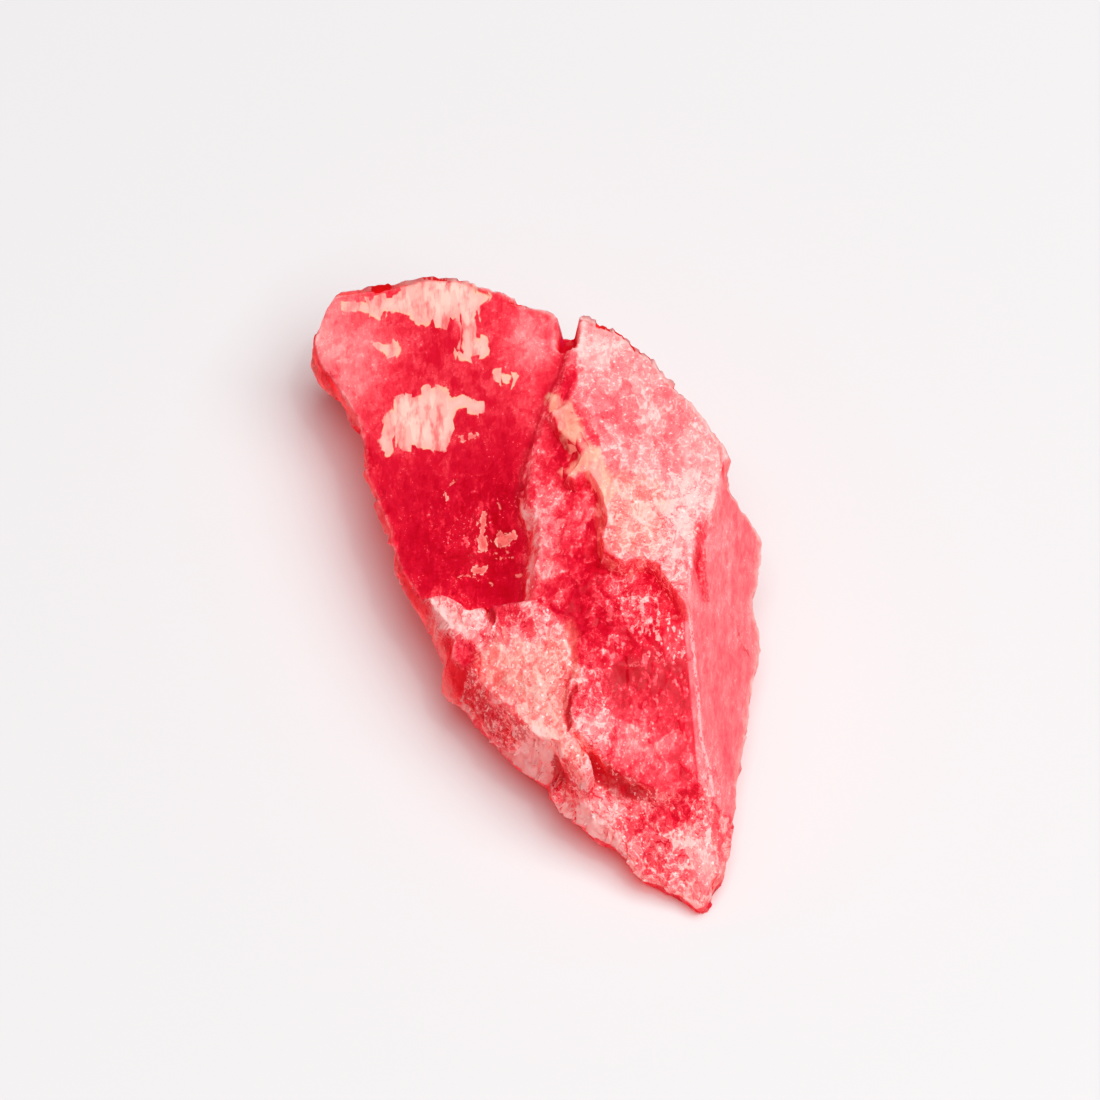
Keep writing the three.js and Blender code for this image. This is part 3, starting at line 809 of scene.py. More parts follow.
BLOOM = [
    [1.5, 1.9], [1.7, 3.0], [2.5, 3.7], [3.6, 4.2], [4.9, 4.2], [5.6, 3.1], [6.7, 2.8], [7.3, 1.8],
    [7.2, 0.5], [6.6, -0.3], [5.5, -0.4], [3.2, 0.8],
]
print("cream patches:", len(CREAM_PATCHES), "yellow:", len(YELLOW_PATCHES))

# %% [markdown]
# ## Frost and depth
# Where the stone is crushed or full of tiny cleavage cracks it looks frosted, and where it is clear it
# looks deep crimson. Neither has a border, so each is a sum of soft ellipses drawn out along the cleavage:
# x, y, half length, half width and strength, all in millimetres but the last. Cleaved, scuffed and crackled
# places, which get their own strokes and lines later, are given in the same way.

# %% Frost and depth
FROST = [
    [-9.2, 3.1, 2.8, 1.1, 0.62], [-18.2, -5.5, 3.2, 1.3, 0.80], [-14.9, -4.9, 3.0, 1.2, 0.50],
    [-13.1, -7.0, 2.8, 0.7, 0.30], [-6.8, 6.3, 2.6, 1.8, 0.60], [-1.9, 6.8, 3.2, 2.3, 0.38],
    [-2.4, 5.3, 1.7, 1.2, -0.30], [2.6, 7.5, 3.2, 1.6, 0.35], [4.0, 2.9, 3.2, 3.2, 0.40],
    [7.1, 2.0, 1.6, 2.3, 0.45],
    [6.6, 4.6, 2.8, 1.2, 0.55], [-0.6, -0.9, 3.8, 1.1, 0.48], [3.9, -3.4, 3.0, 0.9, 0.62],
    [9.2, -0.1, 1.6, 2.0, 0.30], [10.3, 1.5, 2.8, 0.9, 0.40], [11.8, -4.9, 1.3, 0.9, 0.75],
    [14.5, -6.1, 1.8, 1.5, 0.50], [16.9, -5.3, 1.0, 1.7, 0.40], [16.3, -2.8, 2.8, 1.7, 0.22],
    [17.3, -0.5, 3.6, 0.4, 0.38], [19.1, -1.3, 0.9, 0.5, 0.55], [3.6, -8.7, 2.1, 2.0, 0.55],
    [3.7, -9.8, 1.6, 0.9, 0.55], [6.0, -10.4, 0.8, 0.7, 0.40], [10.1, -8.2, 2.1, 1.7, 0.35],
    [10.8, -6.6, 2.8, 1.0, 0.55], [12.6, -8.9, 1.0, 1.6, 0.65], [16.6, -7.9, 1.8, 2.1, 0.40],
    [17.8, -7.4, 1.0, 1.4, 0.50], [20.7, -2.7, 2.4, 1.0, 0.30], [22.9, -3.2, 1.6, 0.6, 0.45],
    [21.1, -3.6, 0.7, 0.7, 0.55], [22.1, -4.8, 1.1, 1.5, 0.22], [18.6, -3.8, 0.7, 1.4, 0.40],
    [9.1, -0.9, 1.5, 1.0, 0.85], [11.0, -1.0, 0.5, 0.3, 0.50], [11.7, 0.0, 0.5, 0.3, 0.50],
    [12.3, 0.7, 0.5, 0.3, 0.50], [5.1, 0.8, 0.9, 0.5, 0.45], [13.7, -5.5, 0.9, 0.7, 0.45],
    [15.0, -1.1, 1.2, 0.8, 0.35], [15.6, -3.9, 1.4, 0.8, 0.35], [7.6, -7.0, 2.0, 1.0, 0.20],
]
DEEP = [
    [6.7, -5.6, 2.2, 1.2, 0.42], [-12.4, -1.3, 3.2, 1.6, 0.30], [-1.6, -6.9, 5.0, 4.1, 0.62],
    [-0.5, -3.3, 5.0, 1.3, 0.60], [3.1, -6.2, 1.4, 2.3, 0.50],
    [9.2, -0.1, 4.2, 3.5, 0.42], [13.6, -2.6, 1.8, 3.5, 0.60], [7.4, -1.6, 4.2, 1.2, 0.55],
    [-0.7, 1.3, 1.8, 0.7, 0.75], [13.4, 0.1, 3.5, 0.8, 0.45], [-8.8, 5.3, 1.1, 0.5, 1.00],
    [-2.5, 1.4, 2.1, 1.5, 0.50], [16.1, -6.4, 0.6, 2.3, 0.50], [18.6, -4.1, 0.6, 2.3, 0.40],
    [19.0, -4.9, 1.8, 1.6, 0.40], [10.3, -9.5, 0.7, 2.7, 0.45], [7.5, -9.9, 1.3, 1.5, 0.35],
    [4.9, -7.3, 0.7, 0.3, 1.00], [8.5, 4.2, 3.5, 0.3, 1.00], [17.6, -1.7, 2.4, 0.8, 0.30],
    [14.7, -8.2, 0.7, 0.8, 0.90], [7.6, -2.8, 0.7, 0.6, 0.45], [7.5, -3.9, 0.7, 0.5, 0.45],
    [7.6, 0.9, 0.6, 0.5, 0.35], [9.6, 1.2, 0.7, 0.5, 0.45], [13.3, -1.6, 0.9, 1.9, 0.35],
    [17.9, -2.5, 0.9, 0.8, 0.30], [19.2, -4.0, 0.8, 1.1, 0.30], [10.9, -1.9, 0.8, 1.6, 0.40],
]
CLEAVED = [[12.2, -0.2, 3.6, 3.4, 1.0]]
SCUFFED = [[-0.6, -5.2, 3.6, 3.2, 1.0]]
CRACKLED = [
    [6.6, 1.5, 2.6, 1.9, 1.0], [4.2, 1.8, 2.2, 1.6, 0.7], [9.3, 1.2, 1.6, 0.9, 0.9],
    [5.6, 5.0, 1.8, 1.4, 0.6], [9.1, -0.7, 1.8, 1.3, 0.9], [8.6, -2.6, 2.6, 1.4, 0.45],
    [12.4, -5.0, 1.6, 1.2, 0.8], [11.0, -6.8, 3.4, 1.4, 1.0], [14.5, -7.0, 2.4, 1.3, 1.0],
    [3.6, -8.8, 2.6, 1.4, 1.0], [17.2, -7.2, 2.4, 1.6, 0.9], [20.6, -4.6, 2.2, 1.6, 0.9],
    [19.6, -1.6, 2.2, 0.9, 1.0], [2.0, -2.4, 2.4, 1.6, 0.35],
]
print("frost:", len(FROST), "deep:", len(DEEP), "crackled:", len(CRACKLED), "ellipses")

# %% [markdown]
# ## Cracks, scratches and fragments
# The smallest things that still have a place of their own: crevices under the ledges, painted dark as painted
# shade, cracks along the cleavage, and pale fragments and scratches in the bowl of the plate. Modelled one
# by one they would be lost between the points of the mesh, so they are outlines and lines for the material.

# %% Small marks
# Outlines of crevices under the ledges, painted dark as painted shade.
SHADED_CREVICE_OUTLINES = [
    [
        [7.2, 4.6], [6.8, 5.1], [7.7, 4.8], [9.2, 4.1], [10.3, 3.7], [10.5, 3.3], [9.4, 3.6], [8.5, 3.9],
    ],
    [
        [5.6, -10.0], [6.3, -8.6], [7.5, -9.4], [8.5, -9.3], [10.3, -8.9], [11.8, -8.6], [12.6, -8.4],
        [12.1, -8.8], [11.0, -9.3], [9.3, -9.7], [7.5, -9.9], [6.1, -10.1],
    ],
    [[-9.8, -7.4], [-8.7, -7.1], [-7.8, -7.4], [-7.8, -8.0], [-10.1, -7.4]],
    [[11.2, 5.2], [11.7, 5.1], [12.3, 5.1], [12.7, 5.3], [11.9, 5.4]],
    [
        [14.6, -6.3], [15.3, -5.9], [16.6, -5.4], [18.2, -4.2], [18.6, -4.3], [17.5, -5.8], [16.1, -6.7],
        [15.2, -6.9],
    ],
]
CRACKS = [
    [[11.3, -5.9], [12.6, -6.4], [13.2, -6.9]],
    [[8.9, -2.3], [10.2, -0.6], [11.7, 1.5]],
    [[11.4, -3.6], [12.5, -1.9], [13.6, 0.6]],
    [[15.3, -6.4], [16.8, -5.9], [18.3, -4.5]],
]
FRAGMENTS = [
    [[0.1, -4.4], [-0.1, -3.9], [0.4, -3.3], [0.8, -3.3], [0.9, -3.9], [0.6, -4.4]],
    [[-1.8, -4.1], [-1.7, -3.9], [-1.2, -4.1], [-0.5, -4.7], [0.2, -4.9], [0.2, -5.2], [-0.5, -5.0]],
    [[1.0, -6.2], [1.3, -5.5], [1.6, -5.8], [1.3, -6.3]],
    [[-6.6, -2.8], [-6.1, -2.1], [-6.0, -2.3], [-6.3, -2.8]],
    [[-4.1, -5.5], [-4.1, -5.3], [-3.7, -5.4], [-3.9, -5.6]],
]
SCRATCHES = [
    [[0.8, -4.0], [1.0, -4.1], [1.3, -4.1]],
    [[0.6, -4.8], [1.3, -4.6], [1.8, -3.9], [2.5, -3.6]],
    [[2.2, -6.0], [2.5, -5.8]], [[-4.3, -4.8], [-4.4, -4.4]], [[-3.2, -1.1], [-2.9, -0.9]],
    [[-1.9, -3.1], [-1.2, -3.2]], [[2.8, -4.6], [3.2, -4.1]], [[1.2, -7.6], [1.1, -6.8], [1.7, -6.2]],
    [[5.5, -7.1], [6.7, -7.1], [7.5, -6.7]],
]
CLEAVAGE_ROWS = [
    [[9.2, -1.9], [9.8, -0.9], [10.7, 0.0], [11.5, 1.4]],
    [[12.2, -2.5], [12.7, -1.4], [13.6, 0.5]],
]

print("cracks:", len(CRACKS), "fragments:", len(FRAGMENTS), "scratches:", len(SCRATCHES))

# %% [markdown]
# ## Marks on the mesh
# Nearly all of the stone's reds lie on one path from crimson to pinkish white, so a single number, its
# paleness, places each point on that path. A chip of stone has one tone all over, so the plan is read at
# each chip's middle and not at the point itself. Edges that stand out are painted paler, partly as fine
# chipping and partly as a painted highlight, and crevices are painted deeper as painted shade. Everything is
# stored on the mesh as one number per point under a name, which the material reads.


# %% Measures for the marks
FARTHEST = 2.0
FROST_SHARE, DEEP_SHARE = 0.40, 0.36


def patch_depth(outlines):
    """Depth inside the nearest of several outlines, on the top of the stone only."""
    return np.clip(np.max([depth_inside(px, py, o) for o in outlines], axis=0), -FARTHEST, FARTHEST) - below


def lines_away(lines):
    """Distance from the nearest of several lines, on the top of the stone only."""
    return np.clip(np.min([line_distance(px, py, line) for line in lines], axis=0), 0, FARTHEST) + below


def frost_less_deep(x, y):
    """The balance of frost over deep crimson at a plan point, in units of paleness."""
    frost, deep = blots(x, y, FROST, CLEAVAGE_DEGREES), blots(x, y, DEEP, CLEAVAGE_DEGREES)
    return over * (FROST_SHARE * frost - DEEP_SHARE * deep)


wander = np.stack([grain(plain, 1.6, 3, 400 + k) for k in range(2)])
wx, wy = px + 0.5 * wander[0], py + 0.5 * wander[1]
big_x, big_y = plan_shift(chip_middle, CHIP, CHIP_STRETCH)
small_x, small_y = plan_shift(small_middle, SMALL_CHIP, SMALL_STRETCH)
smooth_part = frost_less_deep(wx, wy) * (1 - 0.7 * slab_zone)
chipped_part = 0.5 * (frost_less_deep(wx + big_x, wy + big_y) + frost_less_deep(wx + small_x, wy + small_y))
# Brows are painted paler, partly fine chipping and partly a painted highlight; crevices are painted darker as
# painted shade.
stands_out = np.clip(brow, 0, 0.25)
lies_in = np.clip(-brow, 0, 0.35)
# Steep walls; their paleness is lowered as painted shade.
wall = over * ease(steepness, 0.35, 0.8) * (1 - slab_zone)
# The thin rim; it is painted paler as painted light, so that it doesn't turn dark where it is in shade.
thin_rim = ease(rim_away, 0.40, 0.05)
print("walls cover", round(float(wall.mean()) * 100, 1), "% of the points")

# %% [markdown]
# ## How pale, how mixed and how bright
# Each zone has its own paleness, contrast and sparkle, and its own share of chips that take one tone all
# over. The blunt end is painted a little paler, on the plate and on the sides below its rim, as painted
# light.
# Brows are paler too, partly fine chipping and partly a painted highlight, the thin rim is paler as painted
# light, and crevices and walls are deeper as painted shade.

# %% The marks
# How much paler or darker brows, the thin rim, crevices and walls are painted, as painted light and shade.
BROW_CHIPS_AND_HIGHLIGHT, RIM_PAINTED_LIGHT = 0.9, 0.16
CREVICE_SHADING, WALL_SHADE = 0.2, 0.14

# plate, slab, shoulder, middle, shelf, toe, strip, under
own_paleness = by_zone(0.42, 0.66, 0.66, 0.43, 0.65, 0.60, 0.74, 0.30)
chipped = by_zone(0.1, 0.0, 0.6, 0.8, 0.8, 0.9, 0.9, 0.6)
tone_spread = by_zone(0.02, 0.0, 0.12, 0.16, 0.14, 0.22, 0.22, 0.1)
contrast = by_zone(0.45, 0.25, 0.34, 0.68, 0.58, 0.52, 0.90, 0.7)
sparkle = by_zone(0.15, 0.1, 0.8, 0.7, 1.0, 1.0, 0.8, 0.2)
crackle = by_zone(0.06, 0.10, 0.30, 0.16, 0.60, 0.28, 0.85, 0.2)
# Painted light: the blunt end's plate and the sides below its rim are painted paler.
blunt_end_light = 0.08 * plate_zone * ease(-px, 6.0, 14.0) + 0.10 * under_zone * ease(-px, 10.0, 17.0)
# Painted light and shade in the paleness: paler brows (chipping and painted highlight), darker crevices and
# walls (painted shade), a paler thin rim (painted light).
edges = BROW_CHIPS_AND_HIGHLIGHT * stands_out - CREVICE_SHADING * lies_in
edges = edges - WALL_SHADE * wall * (1 - strip_zone) * (1 - thin_rim) + RIM_PAINTED_LIGHT * thin_rim

marks = {
    "pale": own_paleness + blunt_end_light + smooth_part + (chipped_part - smooth_part) * chipped
    + tone_spread * (chip_tone + 0.7 * small_tone) + edges,
    "contrast": contrast,
    "sparkle": sparkle,
    "border": ease(np.minimum(chip_border * CHIP, small_border * SMALL_CHIP), 0.0, 0.10),
    "cream": patch_depth(CREAM_PATCHES),
    "yellow": patch_depth(YELLOW_PATCHES),
    "bloom": patch_depth([SHELF_CREAM, BLOOM]),
    "gap": gap_depth,
    "dark": patch_depth(SHADED_CREVICE_OUTLINES),
    "wall": np.maximum(wall * (1 - 0.6 * strip_zone), 0.5 * thin_rim),
    "slab": slab_zone,
    "crackle": crackle + np.clip(over * blots(wx, wy, CRACKLED, CLEAVAGE_DEGREES), 0, 1),
    "ridge": ridge_away,
    "cleaved": middle_zone * blots(px, py, CLEAVED, CLEAVAGE_DEGREES),
    "rows": lines_away(CLEAVAGE_ROWS),
    "crack": lines_away(CRACKS),
    "scratch": lines_away(SCRATCHES),
    "fragment": patch_depth(FRAGMENTS),
    "scuffed": plate_zone * blots(px, py, SCUFFED, CLEAVAGE_DEGREES),
}
for name, values in marks.items():
    print("mark", name, values.min().round(2), "to", values.max().round(2))

# %% [markdown]
# ## From arrays to a mesh
# The grid becomes faces by index arithmetic, four corners at a time, and the two end rings close in fans
# round one point each, so the skin has no open edge. The marks go in as point attributes. Faces are shaded
# smooth, but an edge that turns by more than a broken facet's angle is kept sharp.


# %% The mesh
FACET_ANGLE = math.radians(38.0)


def ring_faces(rings, around):
    """Corner numbers of every face. A square joins two neighbours on one ring with the same two on the next.
    Each end ring has a fan of triangles to a point of its own, numbered after all the others."""
    i, j = np.meshgrid(np.arange(rings - 1), np.arange(around), indexing="ij")
    k = (j + 1) % around
    quads = np.stack([i * around + j, i * around + k, (i + 1) * around + k, (i + 1) * around + j], axis=-1)
    ring = np.arange(around)
    after = (ring + 1) % around
    last_ring = (rings - 1) * around
    first_point, last_point = np.full(around, rings * around), np.full(around, rings * around + 1)
    start_fan = np.stack([first_point, after, ring], axis=-1)
    end_fan = np.stack([last_point, last_ring + ring, last_ring + after], axis=-1)
    return quads.reshape(-1, 4).tolist() + start_fan.tolist() + end_fan.tolist()


def closed_skin(name, grid, marks, reach):
    """A mesh from a grid of rings, closed at each end by a point that lies outside the end ring's middle,
    with the marks stored on its points."""
    ends = np.stack([grid[0].mean(axis=0) - [reach, 0, 0], grid[-1].mean(axis=0) + [reach, 0, 0]])
    points = (np.concatenate([grid.reshape(-1, 3), ends]) - MIDDLE) * MM
    mesh = bpy.data.meshes.new(name)
    mesh.from_pydata(points.tolist(), [], ring_faces(*grid.shape[:2]))
    mesh.polygons.foreach_set("use_smooth", np.ones(len(mesh.polygons), bool))
    for mark_name, values in marks.items():
        stored = np.concatenate([values.ravel(), values[0, :1], values[-1, :1]]).astype(np.float32)
        mesh.attributes.new(mark_name, "FLOAT", "POINT").data.foreach_set("value", stored)
    mesh.update()
    mesh.set_sharp_from_angle(angle=FACET_ANGLE)
    piece = bpy.data.objects.new(name, mesh)
    bpy.context.scene.collection.objects.link(piece)
    return piece


stone = closed_skin("rhodonite_skin", skin, marks, END_REACH)
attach(stone, "root")
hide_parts("rhodonite")
print("skin has", sum(len(p.vertices) - 2 for p in stone.data.polygons), "triangles")

# %% [markdown]
# ## The stone's material
# One Principled shader carries the stone, because light has to go a little way into it and come out redder.
# Everything on it is worked out by nodes from the stored marks and from noise. Image textures could carry
# it too, but noise has no pixels, so each border stays crisp however near one looks. There are many nodes,
# so a few short helpers make and join them.

# %% Node helpers
material = bpy.data.materials.new("rhodonite_stone")
material.use_nodes = True
tree = material.node_tree
tree.nodes.clear()


def add(kind, inputs=None, **settings):
    """A new node, with its settings, and each input either linked or set to a plain value."""
    made = tree.nodes.new(kind)
    for key, value in settings.items():
        setattr(made, key, value)
    for key, value in (inputs or {}).items():
        if isinstance(value, bpy.types.NodeSocket):
            tree.links.new(value, made.inputs[key])
        else:
            made.inputs[key].default_value = value
    return made


print("nodes are added to", material.name)

# %% [markdown]
# ## Sums and masks
# Shader arithmetic takes one node for each sum or product, so long formulas are written here as functions of
# sockets and numbers. A mask is a socket that runs from 0 to 1 between two values.


# %% Sums and masks
def joined(operation, terms):
    """Numbers or sockets joined from left to right by one kind of Math node."""
    total = terms[0]
    for term in terms[1:]:
        total = add("ShaderNodeMath", {0: total, 1: term}, operation=operation).outputs[0]
    return total


def times(*factors):
    """Product of numbers or sockets."""
    return joined("MULTIPLY", factors)


def plus(*terms):
    """Sum of numbers or sockets."""
    return joined("ADD", terms)


def shares_of(*parts):
    """Sum of sockets, each times its own share."""
    return plus(*[times(value, share) for value, share in parts])


def between(value, low, high):
    """0 below low, 1 above high and an S between; low may be the larger of the two."""
    made = add("ShaderNodeMapRange", {"Value": value, "From Min": low, "From Max": high})
    made.interpolation_type = "SMOOTHSTEP"
    return made.outputs[0]


def mark(name):
    """A number stored on the mesh."""
    return add("ShaderNodeAttribute", attribute_name=name).outputs["Fac"]


print("marks that the nodes can read:", ", ".join(marks))

# %% [markdown]
# ## Coordinates for the patterns
# Noise reads a place, so the place decides how a pattern lies. In millimetres its sizes are easy to give,
# and where the axes are turned along the cleavage and the first one is shortened, patterns come out as
# streaks.


# %% Coordinates
def stretched(where, factors):
    """Coordinates times a factor for each axis: below 1, a pattern is drawn out along that axis."""
    return add("ShaderNodeVectorMath", {0: where, 1: factors}, operation="MULTIPLY").outputs[0]


def turned(where, angle):
    """Coordinates turned about the upright axis."""
    return add("ShaderNodeMapping", {"Vector": where, "Rotation": (0, 0, angle)}).outputs[0]


def scaled(vector, amount):
    """A vector times a number or socket."""
    return add("ShaderNodeVectorMath", {0: vector, "Scale": amount}, operation="SCALE").outputs[0]


def shifted(where, by):
    """A vector plus another."""
    return add("ShaderNodeVectorMath", {0: where, 1: by}, operation="ADD").outputs[0]


SLAB_TURN = math.radians(12.0)
SHAKE_MM = 0.35
in_mm = stretched(add("ShaderNodeTexCoord").outputs["Object"], (1000.0, 1000.0, 1000.0))
crystal_mm = turned(in_mm, -CLEAVAGE_TURN)
streaks_mm = stretched(crystal_mm, (0.28, 1.0, 1.0))
slab_mm = stretched(turned(in_mm, SLAB_TURN), (0.12, 1.0, 1.0))
shake = add("ShaderNodeTexNoise", {"Vector": in_mm, "Scale": 2.6, "Detail": 2.0}).outputs["Color"]
shaken_mm = shifted(stretched(crystal_mm, (0.62, 1.0, 1.0)), scaled(shake, SHAKE_MM))
print("pattern coordinates are in millimetres, with X along the cleavage")

# %% [markdown]
# ## Mottling
# Broken crystal is mottled at every size, from clouds of two or three millimetres to specks of two tenths.
# Each size is one noise, and random cells stand for the crystal's small flakes, each of one tone. Fractal
# noise alone would give the sizes but not the flat tones and hard borders that make it look cleaved.


# %% Noise and cells
def grit(where, per_mm, detail, roughness, distortion=0.0):
    """Noise about 0, from -0.5 to 0.5, with its coarsest features so many to the millimetre."""
    made = add("ShaderNodeTexNoise", {
        "Vector": where, "Scale": per_mm, "Detail": detail, "Roughness": roughness, "Distortion": distortion})
    return plus(made.outputs["Fac"], -0.5)


def cells(where, per_mm):
    """Random cells so many to the millimetre, as a random colour each."""
    return add("ShaderNodeTexVoronoi", {"Vector": where, "Scale": per_mm}).outputs["Color"]


def tone_of(cell_colour):
    """One random number about 0 out of a cell's random colour."""
    return plus(add("ShaderNodeSeparateColor", {"Color": cell_colour}).outputs[0], -0.5)


CLOUDS_PER_MM, MOTTLES_PER_MM, SPECKS_PER_MM = 0.40, 1.2, 5.0
cloud = grit(in_mm, per_mm=CLOUDS_PER_MM, detail=2, roughness=0.5)
mottle = grit(in_mm, per_mm=MOTTLES_PER_MM, detail=3, roughness=0.5, distortion=0.8)
speck = grit(in_mm, per_mm=SPECKS_PER_MM, detail=2, roughness=0.6)
streak = grit(streaks_mm, per_mm=2.6, detail=2, roughness=0.6)
brushed = grit(streaks_mm, per_mm=5.5, detail=2, roughness=0.7)
fibre = grit(streaks_mm, per_mm=1.7, detail=3, roughness=0.6)
flakes, crumbs = cells(shaken_mm, 2.0), cells(shaken_mm, 5.5)
flake_tone, crumb_tone = tone_of(flakes), tone_of(crumbs)
noise_sizes = [round(1 / per_mm, 1) for per_mm in (CLOUDS_PER_MM, MOTTLES_PER_MM, SPECKS_PER_MM)]
print("noise sizes: about", noise_sizes, "mm")

# %% [markdown]
# ## Paleness
# The stored paleness is stirred by all of these, as much as the stored contrast allows. Dust lies in
# patches, and the chips' borders catch light where the stone sparkles. All of it moves one number, so the
# reds stay in tune with each other; painting each effect in its own colour would soon turn muddy.

# %% Stirred paleness
clump = plus(between(shares_of((mottle, 0.8), (speck, 0.6), (cloud, 0.4)), -0.02, 0.10), -0.4)
stir = shares_of(
    (cloud, 0.60), (mottle, 0.42), (streak, 0.14), (speck, 0.12), (flake_tone, 0.20), (crumb_tone, 0.08),
    (clump, 0.05),
)
dust_grains = between(grit(in_mm, per_mm=7.0, detail=2, roughness=0.6), 0.13, 0.19)
dust = times(dust_grains, between(plus(mottle, times(cloud, 0.5)), -0.10, 0.10))
edge_light = times(between(mark("border"), 0.6, 0.0), between(plus(mottle, times(speck, 0.6)), -0.08, 0.12))
paleness = plus(
    mark("pale"), times(mark("contrast"), stir), times(brushed, 0.20), times(dust, 0.22),
    times(edge_light, mark("sparkle"), 0.26),
)
print("paleness is stirred by", len(tree.nodes), "nodes so far")

# %% [markdown]
# ## Crackle, strokes and streaks
# Fine cracks fill the frosted parts. Where air got into one it is a light line, and where it runs straight
# down it is a dark one. Light lines follow the seams between the flakes and the places where noise passes
# through 0, which wind like real cracks. The clear faces have short strokes along the cleavage instead, and
# the slab has long faint streaks.


# %% Lines in the stone
def seams(per_mm, width):
    """The thin lines between cells so many to the millimetre: 1 on a line, 0 a width away."""
    made = add("ShaderNodeTexVoronoi", {"Vector": shaken_mm, "Scale": per_mm}, feature="DISTANCE_TO_EDGE")
    return between(made.outputs["Distance"], width, 0.0)


def hairs(noise, width):
    """Thin winding lines, where noise passes through 0: 1 on the line, 0 a little way off it."""
    return between(add("ShaderNodeMath", {0: noise}, operation="ABSOLUTE").outputs[0], width, 0.0)


winding = hairs(grit(in_mm, per_mm=1.5, detail=2, roughness=0.5, distortion=2.2), 0.028)
dark_winding = hairs(grit(in_mm, per_mm=1.0, detail=3, roughness=0.55, distortion=1.6), 0.030)
light_lines = plus(
    times(seams(2.0, 0.09), between(mottle, -0.08, 0.05)), times(winding, between(speck, -0.02, 0.05)))
dark_lines = times(dark_winding, between(mottle, 0.05, -0.06))
stroke_noise = grit(streaks_mm, per_mm=3.0, detail=1, roughness=0.5)
stroke = between(plus(stroke_noise, times(speck, 0.5)), 0.08, 0.13)
slab_streaks = grit(slab_mm, per_mm=1.6, detail=3, roughness=0.65)
paleness = plus(
    paleness,
    times(light_lines, mark("crackle"), 0.26), times(dark_lines, mark("crackle"), -0.28),
    times(stroke, shares_of((mark("cleaved"), 0.46), (mark("scuffed"), 0.26))),
    times(dust, mark("scuffed"), 0.34), times(dark_lines, mark("scuffed"), -0.25),
    times(slab_streaks, mark("slab"), 0.30),
)
print("light and dark lines cross", len(CRACKLED), "crackled places")

# %% [markdown]
# ## The path of reds
# Clear stone is crimson, and the more it is crushed, the more white light comes back through it: scarlet,
# then coral, then a pinkish white. A ramp holds this path. Mixing crimson with white in equal steps would
# be simpler, but it gives a chalky pink in the middle, where the stone is still strongly red.

# %% Reds
REDS = [
    (0.00, (0.42, 0.000, 0.007)), (0.20, (0.53, 0.001, 0.018)), (0.35, (0.66, 0.007, 0.032)),
    (0.48, (0.80, 0.038, 0.070)), (0.60, (0.90, 0.110, 0.138)), (0.72, (0.95, 0.225, 0.243)),
    (0.86, (1.00, 0.395, 0.390)), (1.00, (1.00, 0.630, 0.600)),
]
reds = add("ShaderNodeValToRGB", {"Fac": paleness})
for place, _ in REDS[1:-1]:
    reds.color_ramp.elements.new(place)
for stop, (place, rgb) in zip(reds.color_ramp.elements, REDS):
    stop.position = place
    stop.color = (*rgb, 1.0)
colour = reds.outputs["Color"]
print("the path of reds has", len(REDS), "stops")

# %% [markdown]
# ## Cream and yellow minerals
# The cream patches are fibrous, with ragged ends along the cleavage and a rusty line on part of their
# border. A thin bloom of the same mineral tints the shelf and the shoulder, and a yellow vein follows the
# shoulder's foot. Each share is a stored depth plus noise, turned into 0 or 1 over a narrow width, and they
# are painted from the lowest up. They fade on walls, where the broken edge shows the red stone under them;
# this also keeps the shaded walls a deep red, as painted shade.


# %% Minerals
def paint(under, over_colour, share):
    """Colour over colour, by a mask. A colour is a socket or three numbers."""
    tones = [(*tone, 1.0) if isinstance(tone, tuple) else tone for tone in (under, over_colour)]
    return add("ShaderNodeMix", {0: share, 6: tones[0], 7: tones[1]}, data_type="RGBA").outputs[2]


CREAM, PINK_CREAM, BORDER_PINK = (1.0, 0.71, 0.61), (0.98, 0.35, 0.32), (0.99, 0.33, 0.30)
BLOCK_PINK, RUST = (0.95, 0.27, 0.25), (1.0, 0.64, 0.40)
BLOOM_RED, BLOOM_CREAM = (1.0, 0.26, 0.20), (1.0, 0.58, 0.42)
YELLOW, ORANGE = (1.0, 0.69, 0.47), (1.0, 0.40, 0.32)

block_step = tone_of(cells(streaks_mm, 1.8))
ragged = shares_of((block_step, 0.45), (mottle, 0.5))
# Minerals fade on walls and at the thin rim, which also keeps these shaded places deep red as painted shade.
off_shaded_walls = plus(1.0, times(mark("wall"), -0.8))

cream_depth = plus(mark("cream"), ragged)
cream_share = times(between(cream_depth, -0.03, 0.07), off_shaded_walls)
cream_tone = paint(CREAM, PINK_CREAM, between(plus(fibre, times(mottle, 0.5)), -0.06, 0.24))
cream_tone = paint(cream_tone, BORDER_PINK, times(between(cream_depth, 0.75, 0.1), 0.40))
blocky = between(plus(block_step, times(cloud, 0.5)), 0.12, 0.30)
cream_tone = paint(cream_tone, BLOCK_PINK, times(blocky, 0.34))
rusty = times(between(cream_depth, 0.26, 0.03), between(fibre, 0.08, -0.08))
cream_tone = paint(cream_tone, RUST, times(rusty, 0.8))

bloom_share = times(between(plus(mark("bloom"), times(ragged, 1.8)), -0.6, 0.7), off_shaded_walls)
bloom_tone = paint(BLOOM_RED, BLOOM_CREAM, between(plus(mottle, times(speck, 0.8)), -0.2, 0.25))
yellow_share = times(between(plus(mark("yellow"), times(ragged, 1.2)), -0.2, 0.2), off_shaded_walls)
yellow_tone = paint(YELLOW, ORANGE, between(plus(mottle, fibre), -0.08, 0.12))

colour = paint(colour, bloom_tone, times(bloom_share, plus(0.42, times(light_lines, -0.2))))
colour = paint(colour, yellow_tone, times(yellow_share, plus(0.62, times(mottle, 1.2))))
colour = paint(colour, cream_tone, times(cream_share, plus(0.95, times(between(fibre, 0.0, 0.2), -0.4))))
print("minerals painted over the reds: bloom, yellow and cream")

